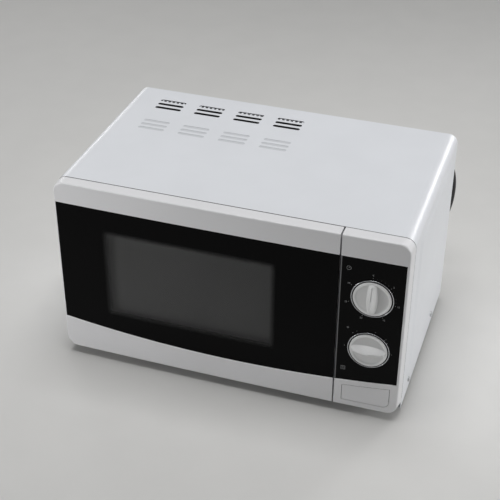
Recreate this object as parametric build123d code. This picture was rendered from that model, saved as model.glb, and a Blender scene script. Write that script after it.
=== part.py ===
from build123d import *
import os
from math import atan2, cos, dist, radians, sin, sqrt, tan

# Compact free-standing microwave oven, in millimetres.
# +Z is up, the door faces -Y, and the origin is on the floor under the middle of the case.

# Case
CASE_W = 440.0          # width of the wrap
CASE_H = 246.0          # height of the wrap and of the whole front
CASE_D = 258.0          # depth of the wrap, from the seam behind the front to its back edge
CASE_R = 12.5           # bend radius along the top of the wrap
SHEET = 0.8             # sheet steel
FLANGE_W = 13.0         # turned-in edge at the back of the wrap
FOOT_H = 12.0           # ground clearance
FOOT_D = 24.0           # foot width at its top
FOOT_X = 40.0           # feet from the two sides
FOOT_Y = 42.0           # feet from the front seam and from the back
FIT = 0.3               # clearance between pieces put together by hand
RUN_FIT = 0.06          # radial clearance of a pin or shaft in its bore

# Top slots and side pressing
VENT_L = 36.0           # slot length
VENT_W = 5.2            # slot width
VENT_PITCH = 54.8       # spacing of the four groups
VENT_X = -159.0         # first group
VENT_ROWS = (206.5, 216.8, 227.0)       # open slots, from the seam
GROOVE_ROWS = (147.0, 157.0, 167.3)     # blind grooves, from the seam
GROOVE_T = 0.4          # depth of a blind groove
EMBOSS_T = 1.6          # height of the raised field pressed into each side
EMBOSS_EDGE = 30.0      # plain border in front of it, behind it and below it
EMBOSS_TOP = 16.0       # plain border above it
EMBOSS_SLOPE = 9.0      # width of its sloped border
EMBOSS_R = 15.0         # its corner radius

# Screws
SCREW_D = 3.2
SCREW_HEAD_D = 7.0
SCREW_HEAD_T = 1.8
SCREW_L = 5.0
SIDE_SCREW_Z = 16.5     # side screws above the case bottom
SIDE_SCREW_Y = (38.0, 179.0)
BACK_SCREW_Z = (60.0, 190.0)
BACK_SCREW_X = 110.0

# Front
FRONT_T = 17.0          # door and panel ahead of the seam, at the middle
FRONT_BULGE = 2.0       # forward curve of the front across its width
FRONT_EDGE_R = 2.0      # rounding round the front face
FRONT_DRAFT = (0.5, 2.6)    # slope of the front's left and right sides, from the seam to the face
FRONT_CORNER_R = 15.0   # corners of the face
FRONT_WALL = 2.4        # wall of the mouldings
SPLIT_X = 82.0          # joint between door and panel, from the right side
SPLIT_GAP = 2.0
PANEL_GAP = 0.3         # panel to wrap
DOOR_GAP = 0.6          # door to front plate
BAND_TOP = 28.0         # white band above the dark field
BAND_BOTTOM = 32.5      # white band below it, at the middle
BAND_RISE = 14.3        # how far the lower edge of the dark field rises to the sides
SCREEN_T = 2.4          # black front sheet
SCREEN_SET = 0.4        # set back from the white bands
SCREEN_LIP = 2.2        # white edge left of the sheet

# Door
WINDOW_X = -48.0        # middle of the window
WINDOW_W = 216.0
WINDOW_H = 121.0
WINDOW_Z = 126.5        # middle of the window above the case bottom
WINDOW_EDGE = 5.0       # mesh beyond the opening in front of it
CHOKE_SET = 7.6         # steel tray behind the front face
MESH_T = 0.5
COVER_T = 1.6
FILM_T = 0.6
HINGE_R = 8.0           # hinge axis from the door's end and from its inner face
STILE_W = 14.0
HINGE_DROP = 17.0       # hinge tabs from the top and the bottom
HINGE_T = 2.0
HINGE_TAB = 3.0         # half width of the tab
HINGE_GAP = 0.5         # above and below the tab
PIN_R = 2.5
PIN_L = 12.0
BRACKET_T = 1.6
BRACKET_H = 20.0

# Latch and its release
LATCH_X = 100.0         # latch from the right side
LATCH_Z = (69.0, 185.0) # hooks above the case bottom
LATCH_T = 5.0           # thickness of a hook
LATCH_H = 8.0           # height of its shank
LATCH_REACH = 24.0      # hook tip behind the seam
LATCH_NOSE = 5.0        # nose length and drop
LATCH_LIFT_GAP = 0.4    # nose above its catch
LATCH_SIDE = 2.2        # side room for the arc of the hook
LATCH_SLOT = 4.0        # height room for the lift
BAR_W = 8.0
BAR_T = 3.4
BAR_END = 12.0          # bar beyond the hooks
BOARD_T = 2.4
BOARD_D = 42.0          # latch board depth
PIVOT_Y = 9.0           # lever axis behind the seam
PIVOT_Z = 52.0          # lever axis above the case bottom
PIVOT_R = 3.0
LEVER_T = 5.0
LEVER_REACH = 13.0      # lever axis to its lifting tip
SWITCH = (10.0, 28.0, 16.0)

# Control panel
FASCIA_EDGE = 5.0       # white edge right of the dark facing
FASCIA_LIP = 1.2        # white edge left of it
FASCIA_T = 1.5
KNOB_X = 42.0           # dials from the right side
TIMER_Z = 166.0         # timer dial above the case bottom
POWER_Z = 91.5          # power dial above the case bottom
KNOB_D = 45.6
KNOB_RIM = 2.7          # rim ahead of the facing
KNOB_DISH = 1.0         # depth of the dish
KNOB_LAND = 2.4         # width of the rim
KNOB_GAP = 0.8          # knob to facing
GRIP_H = 11.0           # grip ahead of the facing
GRIP_L = 41.0
GRIP_W = 14.0           # width of the grip at its middle
GRIP_TIP = 9.4          # width of its blunt ends
GRIP_R = 3.0            # corners of its ends
GRIP_END = 5.0          # height of the grip at its ends
MARK_L = 14.0           # pointer groove along the crest
MARK_W = 1.2
MARK_T = 0.6
RING_D = 50.8
RING_W = 1.2
RING_T = 1.4
SHAFT_R = 3.0
BOSS_R = 6.0
UNIT_W = 56.0           # timer housing
UNIT_T = 30.0
SELECTOR_W = 44.0
SELECTOR_T = 22.0
BELL_D = 38.0
BELL_H = 10.0
BELL_T = 1.0

# Door button
BUTTON_X = 71.0         # its left edge from the right side
BUTTON_W = 58.0
BUTTON_Z = 9.0          # its lower edge above the case bottom
BUTTON_DROP = 8.0       # its upper edge below the dark field
BUTTON_R = 7.5          # outer lower corner
BUTTON_GAP = 0.6
BUTTON_T = 6.5
BUTTON_WALL = 2.0
BUTTON_TRAVEL = 6.0
STEM_X = 61.5           # its stem from the right side
STEM_Z = 21.5
STEM_R = 4.0
GUIDE_T = 2.4
SPRING_WIRE = 0.8
SPRING_R = 6.0
SPRING_TURNS = 3
PULL_R = 2.6            # latch spring
PULL_TURNS = 9

# Oven cavity
CAV_LEFT = 22.0         # wrap to cavity, left
COMPART_W = 118.0       # component space, right
CAV_BELOW = 24.0
CAV_ABOVE = 24.0
CAV_BACK = 4.0          # cavity to rear panel
CAV_R = 8.0

# Turntable
PLATE_D = 240.0
PLATE_T = 4.6
PLATE_RIM = 11.0        # rise of the rim
PLATE_FLAT = 96.0       # radius of the flat middle
WHEEL_R = 8.2
WHEEL_T = 8.0
WHEEL_TRACK = 88.0      # wheel middle from the turntable axis
WHEEL_GAP = 0.3         # wheel to floor and to plate
AXLE_R = 2.4
RING_BAR = 6.0          # width of the roller ring
RING_H = 4.0
TT_SHAFT_R = 3.0
COUPLER_R = 9.0
COUPLER_ARM = 22.0
COUPLER_LIFT = 1.5      # coupler above the floor
MOTOR_D = 49.0
MOTOR_H = 16.0

# Component space
GUIDE_W = 34.0          # waveguide, away from the cavity
GUIDE_L = 90.0
GUIDE_H = 76.0
GUIDE_MID_Y = 125.0     # its middle behind the seam
GUIDE_MID_Z = 150.0     # its middle above the case bottom
APERTURE = (60.0, 36.0)
MICA_T = 0.6
MICA_EDGE = 8.0
MAG_L = 80.0
MAG_H = 66.0
MAG_W = 54.0
MAG_T = 1.6
ANODE_R = 20.0
ANTENNA_R = 7.5
ANTENNA_GAP = 3.5       # antenna to the waveguide's wall
HEATER_BOX = (18.0, 34.0)
FIN_COUNT = 7
FIN_T = 0.8
CORE = (74.0, 78.0, 62.0)
CORE_YOKE = 13.0        # iron above and below the windings
CORE_FOOT = (10.0, 2.0) # foot plate, beyond the core and thick
CORE_X = 60.0           # transformer from the right side
CORE_Y = 135.0
COIL_OUT = 9.0
CAP_D = 32.0
CAP_L = 86.0
CAP_Y = 192.5
FAN_X = 60.0            # fan from the right side
FAN_Z = 108.0
FAN_HOUSE = 102.0
FAN_DEPTH = 26.0
FAN_BORE = 96.0
FAN_TIP_GAP = 2.0
FAN_BLADES = 5
FAN_HUB = 26.0
SPIDER_W = 7.0
FAN_MOTOR = (52.0, 30.0, 46.0)
LAMP_Y = 48.0
LAMP_Z = 48.0           # lamp from the top
LAMP_SIZE = (24.0, 30.0, 30.0)
BULB_R = 7.5
BOARD_X = 80.0          # filter board from the right side
BOARD_Z = 30.0          # and from the top
BOARD_SIZE = (60.0, 40.0)
BOARD_STAND = 8.0
PCB_T = 1.6
POST_R = 2.5
PART_X = 14.0           # parts on the board from its middle
TOROID = (11.0, 14.0)   # radius and height
CAP_BOX = (22.0, 14.0, 9.0)
CAP_UP = 7.0
FUSE_BOX = (22.0, 7.0, 6.0)
FUSE_DOWN = 10.0

# Mains lead
CORD_R = 3.5
CORD_X = 33.0           # where it leaves the back, from the right side
CORD_Z = 174.0          # above the case bottom
GLAND_L = 30.0
GLAND_R = 7.5
GLAND_TIP = 4.6
COIL_R = 45.0           # outermost turn
COIL_STEP = 8.0         # spacing of the turns
COIL_RISE = 7.8         # spacing of the two layers
COIL_HALVES = 3         # half turns in each layer
COIL_X = 62.0
COIL_BACK = 76.0        # coil middle behind the back
TAIL_L = 24.0           # straight length between coil and plug
PLUG_W = 34.0
PLUG_L = 32.0
PLUG_NECK = 22.0
PIN_DIA = 4.8
PIN_OUT = 19.0
PIN_PITCH = 19.0
TIE_T = 1.2
TIE_W = 6.0

# Places that follow from the sizes above
X_L = -CASE_W / 2
X_R = CASE_W / 2
KNOB_AT = X_R - KNOB_X
LATCH_AT = X_R - LATCH_X
BUTTON_AT = X_R - BUTTON_X
STEM_AT = X_R - STEM_X
CORE_AT = X_R - CORE_X
FAN_AT = X_R - FAN_X
BOARD_AT = X_R - BOARD_X
CORD_AT = X_R - CORD_X
Z_B = FOOT_H
Z_T = FOOT_H + CASE_H
ARC_R = (CASE_W ** 2 / 4 + FRONT_BULGE ** 2) / (2 * FRONT_BULGE)


def sag(x):
    """Set-back of the curved front at a place across its width."""
    return ARC_R - sqrt(ARC_R ** 2 - x ** 2)


FRONT_REACH = FRONT_T - sag(KNOB_AT) - SCREEN_SET + GRIP_H
Y_S = (FRONT_REACH - CASE_D - SCREW_HEAD_T) / 2
Y_R = Y_S + CASE_D
Y_F = Y_S - FRONT_T
PANEL_Y = Y_R - 2 * SHEET               # inner face of the rear panel
DOOR_Y = Y_S - DOOR_GAP                 # inner face of the door
DOOR_XR = X_R - SPLIT_X - SPLIT_GAP / 2
PANEL_XL = X_R - SPLIT_X + SPLIT_GAP / 2
HINGE_X = X_L + HINGE_R
HINGE_Y = DOOR_Y - HINGE_R
HINGE_Z = (Z_B + HINGE_DROP, Z_T - HINGE_DROP)
FACE_IN = SCREEN_SET + SCREEN_T + FRONT_WALL    # inner side of the door's front wall
COVER_Y = DOOR_Y - COVER_T
CHOKE_Y = Y_F + CHOKE_SET
CHOKE_XR = LATCH_AT - BAR_W / 2 - 2 * FIT
WINDOW_XS = (WINDOW_X - WINDOW_W / 2, WINDOW_X + WINDOW_W / 2)
WINDOW_ZS = (Z_B + WINDOW_Z - WINDOW_H / 2, Z_B + WINDOW_Z + WINDOW_H / 2)
CAV_XL = X_L + CAV_LEFT
CAV_XR = X_R - COMPART_W
CAV_ZF = Z_B + CAV_BELOW
CAV_ZC = Z_T - CAV_ABOVE
CAV_YF = Y_S + SHEET
CAV_YB = PANEL_Y - CAV_BACK - SHEET
TT_X = (CAV_XL + CAV_XR) / 2
TT_Y = (CAV_YF + CAV_YB) / 2
PLATE_Z = CAV_ZF + 2 * (WHEEL_R + WHEEL_GAP)
WHEEL_Z = CAV_ZF + WHEEL_R + WHEEL_GAP
FACE_Y = Y_F + SCREEN_SET + sag(KNOB_AT)     # facing at the dials
BOSS_L = FASCIA_T + FRONT_WALL - 2 * FIT    # knob boss behind the facing
UNIT_Y = Y_F + SCREEN_SET + FASCIA_T + FRONT_WALL + sag(KNOB_AT + UNIT_W / 2) + FIT
STEM_END = Y_S + PIVOT_Y - PIVOT_R - FIT
GUIDE_Y = Y_F + sag(BUTTON_AT + BUTTON_W) + BUTTON_T + BUTTON_TRAVEL + FIT   # guide plate behind the button
SPRING_Y = (Y_F + SCREEN_SET + sag(STEM_AT) + BUTTON_WALL + FIT, GUIDE_Y - FIT)
GUIDE_X = CAV_XR + SHEET + GUIDE_W          # outer face of the waveguide
GUIDE_Y0 = Y_S + GUIDE_MID_Y
GUIDE_Z0 = Z_B + GUIDE_MID_Z
FAN_Y = PANEL_Y - FAN_DEPTH
COIL_Y = Y_R + COIL_BACK


def block(xs, ys, zs):
    """Box from its spans."""
    mid = [(a + b) / 2 for a, b in (xs, ys, zs)]
    size = [b - a for a, b in (xs, ys, zs)]
    return Pos(*mid) * Box(*size)


def around(centre, width):
    """Span of a given width about a middle."""
    return (centre - width / 2, centre + width / 2)


def rod(axis, at, radius, span):
    """Cylinder along X, Y or Z; at gives its other two coordinates in that order."""
    mid = (span[0] + span[1]) / 2
    body = Cylinder(radius, span[1] - span[0])
    if axis == "X":
        return Pos(mid, at[0], at[1]) * Rot(0, 90, 0) * body
    if axis == "Y":
        return Pos(at[0], mid, at[1]) * Rot(90, 0, 0) * body
    return Pos(at[0], at[1], mid) * body


def slab_x(sketch, at, xs):
    """Sketch in Y and Z, thickened along X."""
    plane = Plane(origin=(xs[0], at[0], at[1]), x_dir=(0, 1, 0), z_dir=(1, 0, 0))
    return extrude(plane * sketch, amount=xs[1] - xs[0])


def slab_y(sketch, at, ys):
    """Sketch in X and Z, thickened along Y."""
    plane = Plane(origin=(at[0], ys[1], at[1]), x_dir=(1, 0, 0), z_dir=(0, -1, 0))
    return extrude(plane * sketch, amount=ys[1] - ys[0])


def slab_z(sketch, at, zs):
    """Sketch in X and Y, thickened along Z."""
    return extrude(Pos(at[0], at[1], zs[0]) * sketch, amount=zs[1] - zs[0])


def outline(ys, inset=0.0):
    """Rounded outline of the front, as a prism."""
    shape = RectangleRounded(CASE_W - 2 * inset, CASE_H - 2 * inset, CASE_R - inset)
    return slab_y(shape, (0, Z_B + CASE_H / 2), ys)


def front_slab(inset, back):
    """Body between the curved front, set back by an amount, and a second such face."""
    wide = X_R + CASE_R
    ends = [(-wide, sag(wide)), (0, 0), (wide, sag(wide))]
    front = [(x, Y_F + inset + y) for x, y in ends]
    rear = [(x, Y_F + back + y) for x, y in ends]
    edges = [ThreePointArc(*front), Line(front[2], rear[2]), ThreePointArc(*rear), Line(rear[0], front[0])]
    return extrude(make_face(edges), amount=Z_T + FOOT_H)


def front_body(y_back):
    """Whole front block, door and panel together, rounded round its face."""
    flat = front_slab(0, FRONT_T + FRONT_BULGE)
    mid = Z_B + CASE_H / 2
    rear = Plane(origin=(0, Y_S, mid), x_dir=(1, 0, 0), z_dir=(0, -1, 0))
    left, right = FRONT_DRAFT
    fore = Plane(origin=((left - right) / 2, Y_F - 1, mid), x_dir=(1, 0, 0), z_dir=(0, -1, 0))
    face = RectangleRounded(CASE_W - left - right, CASE_H, FRONT_CORNER_R)
    body = loft([rear * RectangleRounded(CASE_W, CASE_H, CASE_R), fore * face])
    body &= flat & block((X_L - 1, X_R + 1), (Y_F - 1, y_back), (Z_B - 1, Z_T + 1))
    face = body.faces().sort_by(Axis.Y)[0]
    return fillet(face.edges(), FRONT_EDGE_R)


def dark_field(xs, ys, inset=0.0):
    """Dark field across door and panel: straight above, an arc below."""
    top = Z_T - BAND_TOP - inset
    low = Z_B + BAND_BOTTOM + inset
    side = low + BAND_RISE
    arc = ThreePointArc((X_L, side), (0, low), (X_R, side))
    edges = [arc, Line((X_R, side), (X_R, top)), Line((X_R, top), (X_L, top)), Line((X_L, top), (X_L, side))]
    return slab_y(make_face(edges), (0, 0), ys) & block(xs, ys, (Z_B, Z_T))


# Case


def wrap_shape(inset):
    """Arch of the wrap, drawn twice as tall so that its lower half is cut away."""
    return RectangleRounded(CASE_W - 2 * inset, 2 * (CASE_H - inset), max(CASE_R - inset, 2 * SHEET))


def vent_slots(rows, zs):
    """Slots of the given rows in all four groups."""
    slots = []
    for group in range(4):
        for row in rows:
            at = (VENT_X + group * VENT_PITCH, Y_S + row)
            slots.append(slab_z(SlotOverall(VENT_L, VENT_W), at, zs))
    return Part() + slots


def side_screws():
    """Places of the side screws."""
    return [(side, Y_S + y, Z_B + SIDE_SCREW_Z) for side in (-1, 1) for y in SIDE_SCREW_Y]


def back_screws():
    """Places of the screws through the turned-in back edge."""
    in_x = X_R - FLANGE_W / 2
    sides = [(side * in_x, Z_B + z) for side in (-1, 1) for z in BACK_SCREW_Z]
    return sides + [(side * BACK_SCREW_X, Z_T - FLANGE_W / 2) for side in (-1, 1)]


def screw_holes(radius):
    """Cutters for all the case screws."""
    cuts = []
    for side, y, z in side_screws():
        cuts.append(rod("X", (y, z), radius, around(side * X_R, 4 * SCREW_L)))
    for x, z in back_screws():
        cuts.append(rod("Y", (x, z), radius, around(Y_R, 4 * SCREW_L)))
    return cuts


def pressing(side, x):
    """Raised field of one side with sloped borders, standing on the plane at x."""
    size = (CASE_D - 2 * EMBOSS_EDGE, CASE_H - EMBOSS_EDGE - EMBOSS_TOP)
    at = ((Y_S + Y_R) / 2, Z_B + EMBOSS_EDGE + size[1] / 2)
    levels = []
    for inset, rise in ((0, 0), (EMBOSS_SLOPE, EMBOSS_T)):
        shape = RectangleRounded(size[0] - 2 * inset, size[1] - 2 * inset, EMBOSS_R - inset)
        plane = Plane(origin=(side * (x + rise), *at), x_dir=(0, 1, 0), z_dir=(side, 0, 0))
        levels.append(plane * shape)
    return loft(levels)


def cabinet():
    """Folded wrap: top, two sides with a raised field each, and a turned-in back edge."""
    shell = slab_y(wrap_shape(0) - wrap_shape(SHEET), (0, Z_B), (Y_S, Y_R))
    edge = slab_y(wrap_shape(0) - wrap_shape(FLANGE_W), (0, Z_B), (Y_R - SHEET, Y_R))
    body = (shell + edge) & block((X_L, X_R), (Y_S, Y_R), (Z_B, Z_T))
    for side in (-1, 1):
        body += pressing(side, X_R)
        body -= pressing(side, X_R - SHEET)
    body -= vent_slots(VENT_ROWS, (Z_T - 2 * SHEET, Z_T + 1))
    body -= vent_slots(GROOVE_ROWS, (Z_T - GROOVE_T, Z_T + 1))
    return body - screw_holes(SCREW_D / 2 + FIT)


def screw(head_radius):
    """Pan-head screw along +Z, its head seated at zero."""
    shank = rod("Z", (0, 0), SCREW_D / 2, (-SCREW_L, 0))
    head = rod("Z", (0, 0), head_radius, (0, SCREW_HEAD_T))
    head = fillet(head.edges().group_by(Axis.Z)[-1], SCREW_HEAD_T / 2)
    slot = Box(head_radius, SCREW_HEAD_T / 2, SCREW_HEAD_T)
    cross = Pos(0, 0, SCREW_HEAD_T) * (slot + Rot(0, 0, 90) * slot)
    return shank + head - cross


def cabinet_screws():
    """Side and back screws of the wrap."""
    one = screw(SCREW_HEAD_D / 2)
    group = []
    for side, y, z in side_screws():
        group.append(Pos(side * X_R, y, z) * Rot(0, 90 * side, 0) * one)
    for x, z in back_screws():
        group.append(Pos(x, Y_R, z) * Rot(-90, 0, 0) * one)
    return Compound(children=group)


def feet_places():
    """Middles of the four feet."""
    return [(x, y) for x in (X_L + FOOT_X, X_R - FOOT_X) for y in (Y_S + FOOT_Y, Y_R - FOOT_Y)]


def base_plate():
    """Floor of the case, with turned-up sides."""
    half = X_R - SHEET - FIT
    ys = (Y_S + SHEET + FIT, PANEL_Y - FIT)
    floor = block((-half, half), ys, (Z_B, Z_B + SHEET))
    rise = (Z_B, Z_B + EMBOSS_EDGE - SHEET - 2 * FIT)
    flank = (Y_S + EMBOSS_EDGE - 2, PANEL_Y - FIT)
    left = block((-half, SHEET - half), flank, rise)
    right = block((half - SHEET, half), flank, rise)
    body = floor + left + right
    for x, y in feet_places():
        body -= rod("Z", (x, y), FOOT_D / 4 + FIT, (Z_B - 1, Z_B + 2))
    for index in range(9):
        x = CORE_AT - 4 * VENT_W * 2 + index * VENT_W * 2
        body -= slab_z(SlotOverall(VENT_L, VENT_W, rotation=90), (x, Y_S + CORE_Y / 2), (Z_B - 1, Z_B + 2))
    return body - screw_holes(SCREW_D / 2 + FIT)


def feet():
    """Four tapered feet, each clipped into the floor of the case by a stud."""
    group = []
    for x, y in feet_places():
        cone = Pos(x, y, FOOT_H / 2) * Cone(FOOT_D / 2 * 0.8, FOOT_D / 2, FOOT_H)
        cone = fillet(cone.edges().sort_by(Axis.Z)[0], 1.5)
        stud = rod("Z", (x, y), FOOT_D / 4, (FOOT_H - 1, FOOT_H + 4 * SHEET))
        group.append(cone + stud)
    return Compound(children=group)


def rear_panel():
    """Steel back with the fan grille, the lead hole and the flange under the top slots."""
    inset = SHEET + FIT
    plate = slab_y(wrap_shape(inset), (0, Z_B), (PANEL_Y, PANEL_Y + SHEET))
    plate &= block((X_L, X_R), (PANEL_Y - 1, Y_R), (Z_B + SHEET, Z_T))
    top = Z_T - inset
    reach = Y_S + VENT_ROWS[2] - VENT_W
    wide = (VENT_X - VENT_L, VENT_X + 3 * VENT_PITCH + VENT_L)
    flange = block(wide, (reach, PANEL_Y + SHEET), (top - SHEET, top))
    hole = VENT_W * 0.68
    pitch = hole + VENT_W * 0.46
    count = int((wide[1] - wide[0]) / pitch) - 1
    cuts = []
    for index in range(count):
        at = (wide[0] + pitch * (index + 1), Y_S + VENT_ROWS[2])
        cuts.append(block(around(at[0], hole), around(at[1], VENT_W), (top - 2, top + 1)))
    for row in range(-4, 5):
        span = 2 * sqrt((FAN_BORE / 2) ** 2 - (row * 10) ** 2) - 12
        at = (FAN_AT, Z_B + FAN_Z + row * 10)
        cuts.append(slab_y(SlotOverall(span, VENT_W), at, (PANEL_Y - 1, PANEL_Y + 2)))
    cuts.append(rod("Y", (CORD_AT, Z_B + CORD_Z), GLAND_R - 2 + FIT, (PANEL_Y - 1, PANEL_Y + 2)))
    return (plate + flange) - cuts - screw_holes(SCREW_D / 2 + FIT)


def front_plate():
    """Steel frame round the oven opening, behind the door."""
    ys = (Y_S, Y_S + SHEET)
    plate = outline(ys, SHEET + FIT) & block((X_L, PANEL_XL + 3 * FRONT_WALL), ys, (Z_B, Z_T))
    mouth = RectangleRounded(CAV_XR - CAV_XL, CAV_ZC - CAV_ZF, CAV_R)
    plate -= slab_y(mouth, ((CAV_XL + CAV_XR) / 2, (CAV_ZF + CAV_ZC) / 2), around(Y_S, 8 * SHEET))
    for z in HINGE_Z:
        tab = around(HINGE_X, 2 * (HINGE_TAB + FIT))
        plate -= block(tab, around(Y_S, 8 * SHEET), around(z, HINGE_T + 2 * FIT))
    for z in LATCH_Z:
        plate -= hook_slot(Z_B + z, around(Y_S, 8 * SHEET))
    return plate


def hook_slot(z, ys):
    """Opening for one hook, with room for its lift and for its arc."""
    xs = (LATCH_AT - LATCH_T / 2 - LATCH_SIDE / 2, LATCH_AT + LATCH_T / 2 + LATCH_SIDE)
    return block(xs, ys, (z - LATCH_H / 2 - LATCH_NOSE - 1, z + LATCH_H / 2 + LATCH_SLOT))


def cavity():
    """Oven box, open towards the door."""
    def shell(grow, y_front):
        wide = CAV_XR - CAV_XL + 2 * grow
        tall = CAV_ZC - CAV_ZF + 2 * grow
        at = ((CAV_XL + CAV_XR) / 2, (CAV_ZF + CAV_ZC) / 2)
        return slab_y(RectangleRounded(wide, tall, CAV_R + grow), at, (y_front, CAV_YB + grow))

    body = shell(SHEET, CAV_YF) - shell(0, CAV_YF - 1)
    wall = around(CAV_XR, 4 * SHEET)
    body -= block(wall, around(GUIDE_Y0, APERTURE[0]), around(GUIDE_Z0, APERTURE[1]))
    body -= rod("Z", (TT_X, TT_Y), TT_SHAFT_R + 2, around(CAV_ZF, 4 * SHEET))
    for row in range(3):
        for place in range(3):
            y = Y_S + LAMP_Y + LAMP_SIZE[1] / 2 + (place - 1) * 7
            body -= rod("X", (y, Z_T - LAMP_Z + (row - 1) * 7), 2, wall)
    return body


# Door


def door_frame():
    """White moulding: bands above and below, a hinge stile, a seat for the screen and a window."""
    low, high = HINGE_Z
    body = front_body(DOOR_Y) & block((X_L - 1, DOOR_XR), (Y_F - 1, Y_S), (Z_B - 1, Z_T + 1))
    corner = block((X_L - 1, HINGE_X), (HINGE_Y, Y_S), (Z_B - 1, Z_T + 1))
    body -= corner - rod("Z", (HINGE_X, HINGE_Y), HINGE_R, (Z_B - 2, Z_T + 2))
    inner = front_slab(FACE_IN, FRONT_T + FRONT_BULGE) & outline((Y_F, Y_S), FRONT_WALL)
    body -= inner & block((X_L + STILE_W, DOOR_XR - FRONT_WALL), (Y_F, Y_S), (Z_B, Z_T))
    seat = dark_field((X_L + SCREEN_LIP, DOOR_XR + 1), (Y_F - 2, Y_S))
    body -= seat & front_slab(-2, SCREEN_SET + SCREEN_T)
    body -= block(WINDOW_XS, (Y_F - 1, CHOKE_Y), WINDOW_ZS)
    for z in HINGE_Z:
        ys = (HINGE_Y - HINGE_TAB - 2 * FIT - HINGE_R * sin(radians(10)), Y_S)
        body -= block((X_L - 1, HINGE_X + HINGE_TAB + 2 * FIT), ys, around(z, HINGE_T + 2 * HINGE_GAP))
    body -= rod("Z", (HINGE_X, HINGE_Y), PIN_R + RUN_FIT, (low, low + HINGE_T / 2 + PIN_L + HINGE_GAP))
    body -= rod("Z", (HINGE_X, HINGE_Y), PIN_R + RUN_FIT, (high - HINGE_T / 2 - PIN_L - HINGE_GAP, high))
    return body + spring_peg()


def latch_spring_y():
    """Depth of the latch spring's axis, clear of the cover."""
    return COVER_Y - 3 * FIT - PULL_R - SPRING_WIRE / 2


def spring_peg():
    """Peg inside the foot of the latch spring, standing on the frame's lower wall."""
    z = Z_B + FRONT_WALL
    return rod("Z", (LATCH_AT, latch_spring_y()), PULL_R - SPRING_WIRE / 2 - FIT, (z - 1, z + 3 * PULL_R))


def door_screen():
    """Black front sheet, curved with the front."""
    field = dark_field((X_L + SCREEN_LIP + FIT / 2, DOOR_XR), (Y_F - 2, Y_S), FIT / 2)
    return field & front_slab(SCREEN_SET, SCREEN_SET + SCREEN_T)


def choke_spans():
    """Width and height of the steel tray in the door."""
    xs = (X_L + STILE_W + FIT, CHOKE_XR)
    return xs, (Z_B + FRONT_WALL + FIT, Z_T - FRONT_WALL - FIT)


def door_choke():
    """Steel tray with a window, open towards the oven."""
    xs, zs = choke_spans()
    body = block(xs, (CHOKE_Y, COVER_Y), zs)
    inner = [(a + SHEET, b - SHEET) for a, b in (xs, zs)]
    body -= block(inner[0], (CHOKE_Y + SHEET, COVER_Y + 1), inner[1])
    return body - block(WINDOW_XS, (CHOKE_Y - 1, COVER_Y), WINDOW_ZS)


def door_mesh():
    """Perforated sheet behind the window of the tray."""
    wide = around(WINDOW_X, WINDOW_W + 2 * WINDOW_EDGE)
    tall = around(Z_B + WINDOW_Z, WINDOW_H + 2 * WINDOW_EDGE)
    return block(wide, (CHOKE_Y + SHEET, CHOKE_Y + SHEET + MESH_T), tall)


def door_cover():
    """Moulded cover on the inner side, with the window and the two hook openings."""
    xs = (X_L + STILE_W + FIT, DOOR_XR - FRONT_WALL - FIT)
    zs = choke_spans()[1]
    body = block(xs, (COVER_Y, DOOR_Y), zs)
    body -= block(WINDOW_XS, (COVER_Y - 1, DOOR_Y + 1), WINDOW_ZS)
    for z in LATCH_Z:
        body -= hook_slot(Z_B + z, (COVER_Y - 1, DOOR_Y + 1))
    return body


def door_film():
    """Clear sheet over the window, held behind the cover."""
    wide = around(WINDOW_X, WINDOW_W + 2 * WINDOW_EDGE)
    tall = around(Z_B + WINDOW_Z, WINDOW_H + 2 * WINDOW_EDGE)
    return block(wide, (COVER_Y - FILM_T, COVER_Y), tall)


def hinge(z, pin):
    """Bracket behind the front plate, with a tab into the door and a pin; pin is +1 up or -1 down."""
    back = Y_S + SHEET
    xs = (X_L + SHEET + 3, CAV_XL - SHEET - 1)
    body = block(xs, (back, back + BRACKET_T), around(z, BRACKET_H))
    body += block(around(HINGE_X, 2 * HINGE_TAB), (HINGE_Y, back + BRACKET_T), around(z, HINGE_T))
    body += rod("Z", (HINGE_X, HINGE_Y), HINGE_TAB, around(z, HINGE_T))
    end = z + pin * (HINGE_T / 2 + PIN_L)
    return body + rod("Z", (HINGE_X, HINGE_Y), PIN_R, sorted((z, end)))


def upper_hinge():
    """Upper hinge, pin downwards."""
    return hinge(HINGE_Z[1], -1)


def lower_hinge():
    """Lower hinge, pin upwards."""
    return hinge(HINGE_Z[0], 1)


# Latch and release


def bar_ys():
    """Depth span of the latch bar."""
    return (COVER_Y - FIT - BAR_T, COVER_Y - FIT)


def door_latch():
    """Sliding bar with two hooks, their noses pointing down behind the catches."""
    ys = bar_ys()
    zs = (Z_B + LATCH_Z[0] - BAR_END, Z_B + LATCH_Z[1] + BAR_END)
    body = block(around(LATCH_AT, BAR_W), ys, zs)
    for low in LATCH_Z:
        z = Z_B + low
        wide = around(LATCH_AT, LATCH_T)
        tip = Y_S + LATCH_REACH
        body += block(wide, (ys[0], tip), around(z, LATCH_H))
        body += block(wide, (tip - LATCH_NOSE, tip), (z - LATCH_H / 2 - LATCH_NOSE, z))
    return body


def winding(radius, zs, turns):
    """Wire path of a spring along +Z, as half turns that each rise by the same amount."""
    step = (zs[1] - zs[0]) / (2 * turns)
    edges = []
    for index in range(2 * turns):
        side = 1 if index % 2 == 0 else -1
        z = zs[0] + index * step
        mid = (0, side * sqrt(radius ** 2 + (step / 2) ** 2), z + step / 2)
        edges.append(ThreePointArc((side * radius, 0, z), mid, (-side * radius, 0, z + step)))
    return Wire(edges)


def coil_spring(radius, length, turns):
    """Wound spring from zero to a length along +Z."""
    half = SPRING_WIRE / 2
    path = winding(radius, (half, length - half), turns)
    start = Plane(origin=path @ 0, z_dir=path % 0)
    return sweep(start * Circle(half), path=path)


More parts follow.
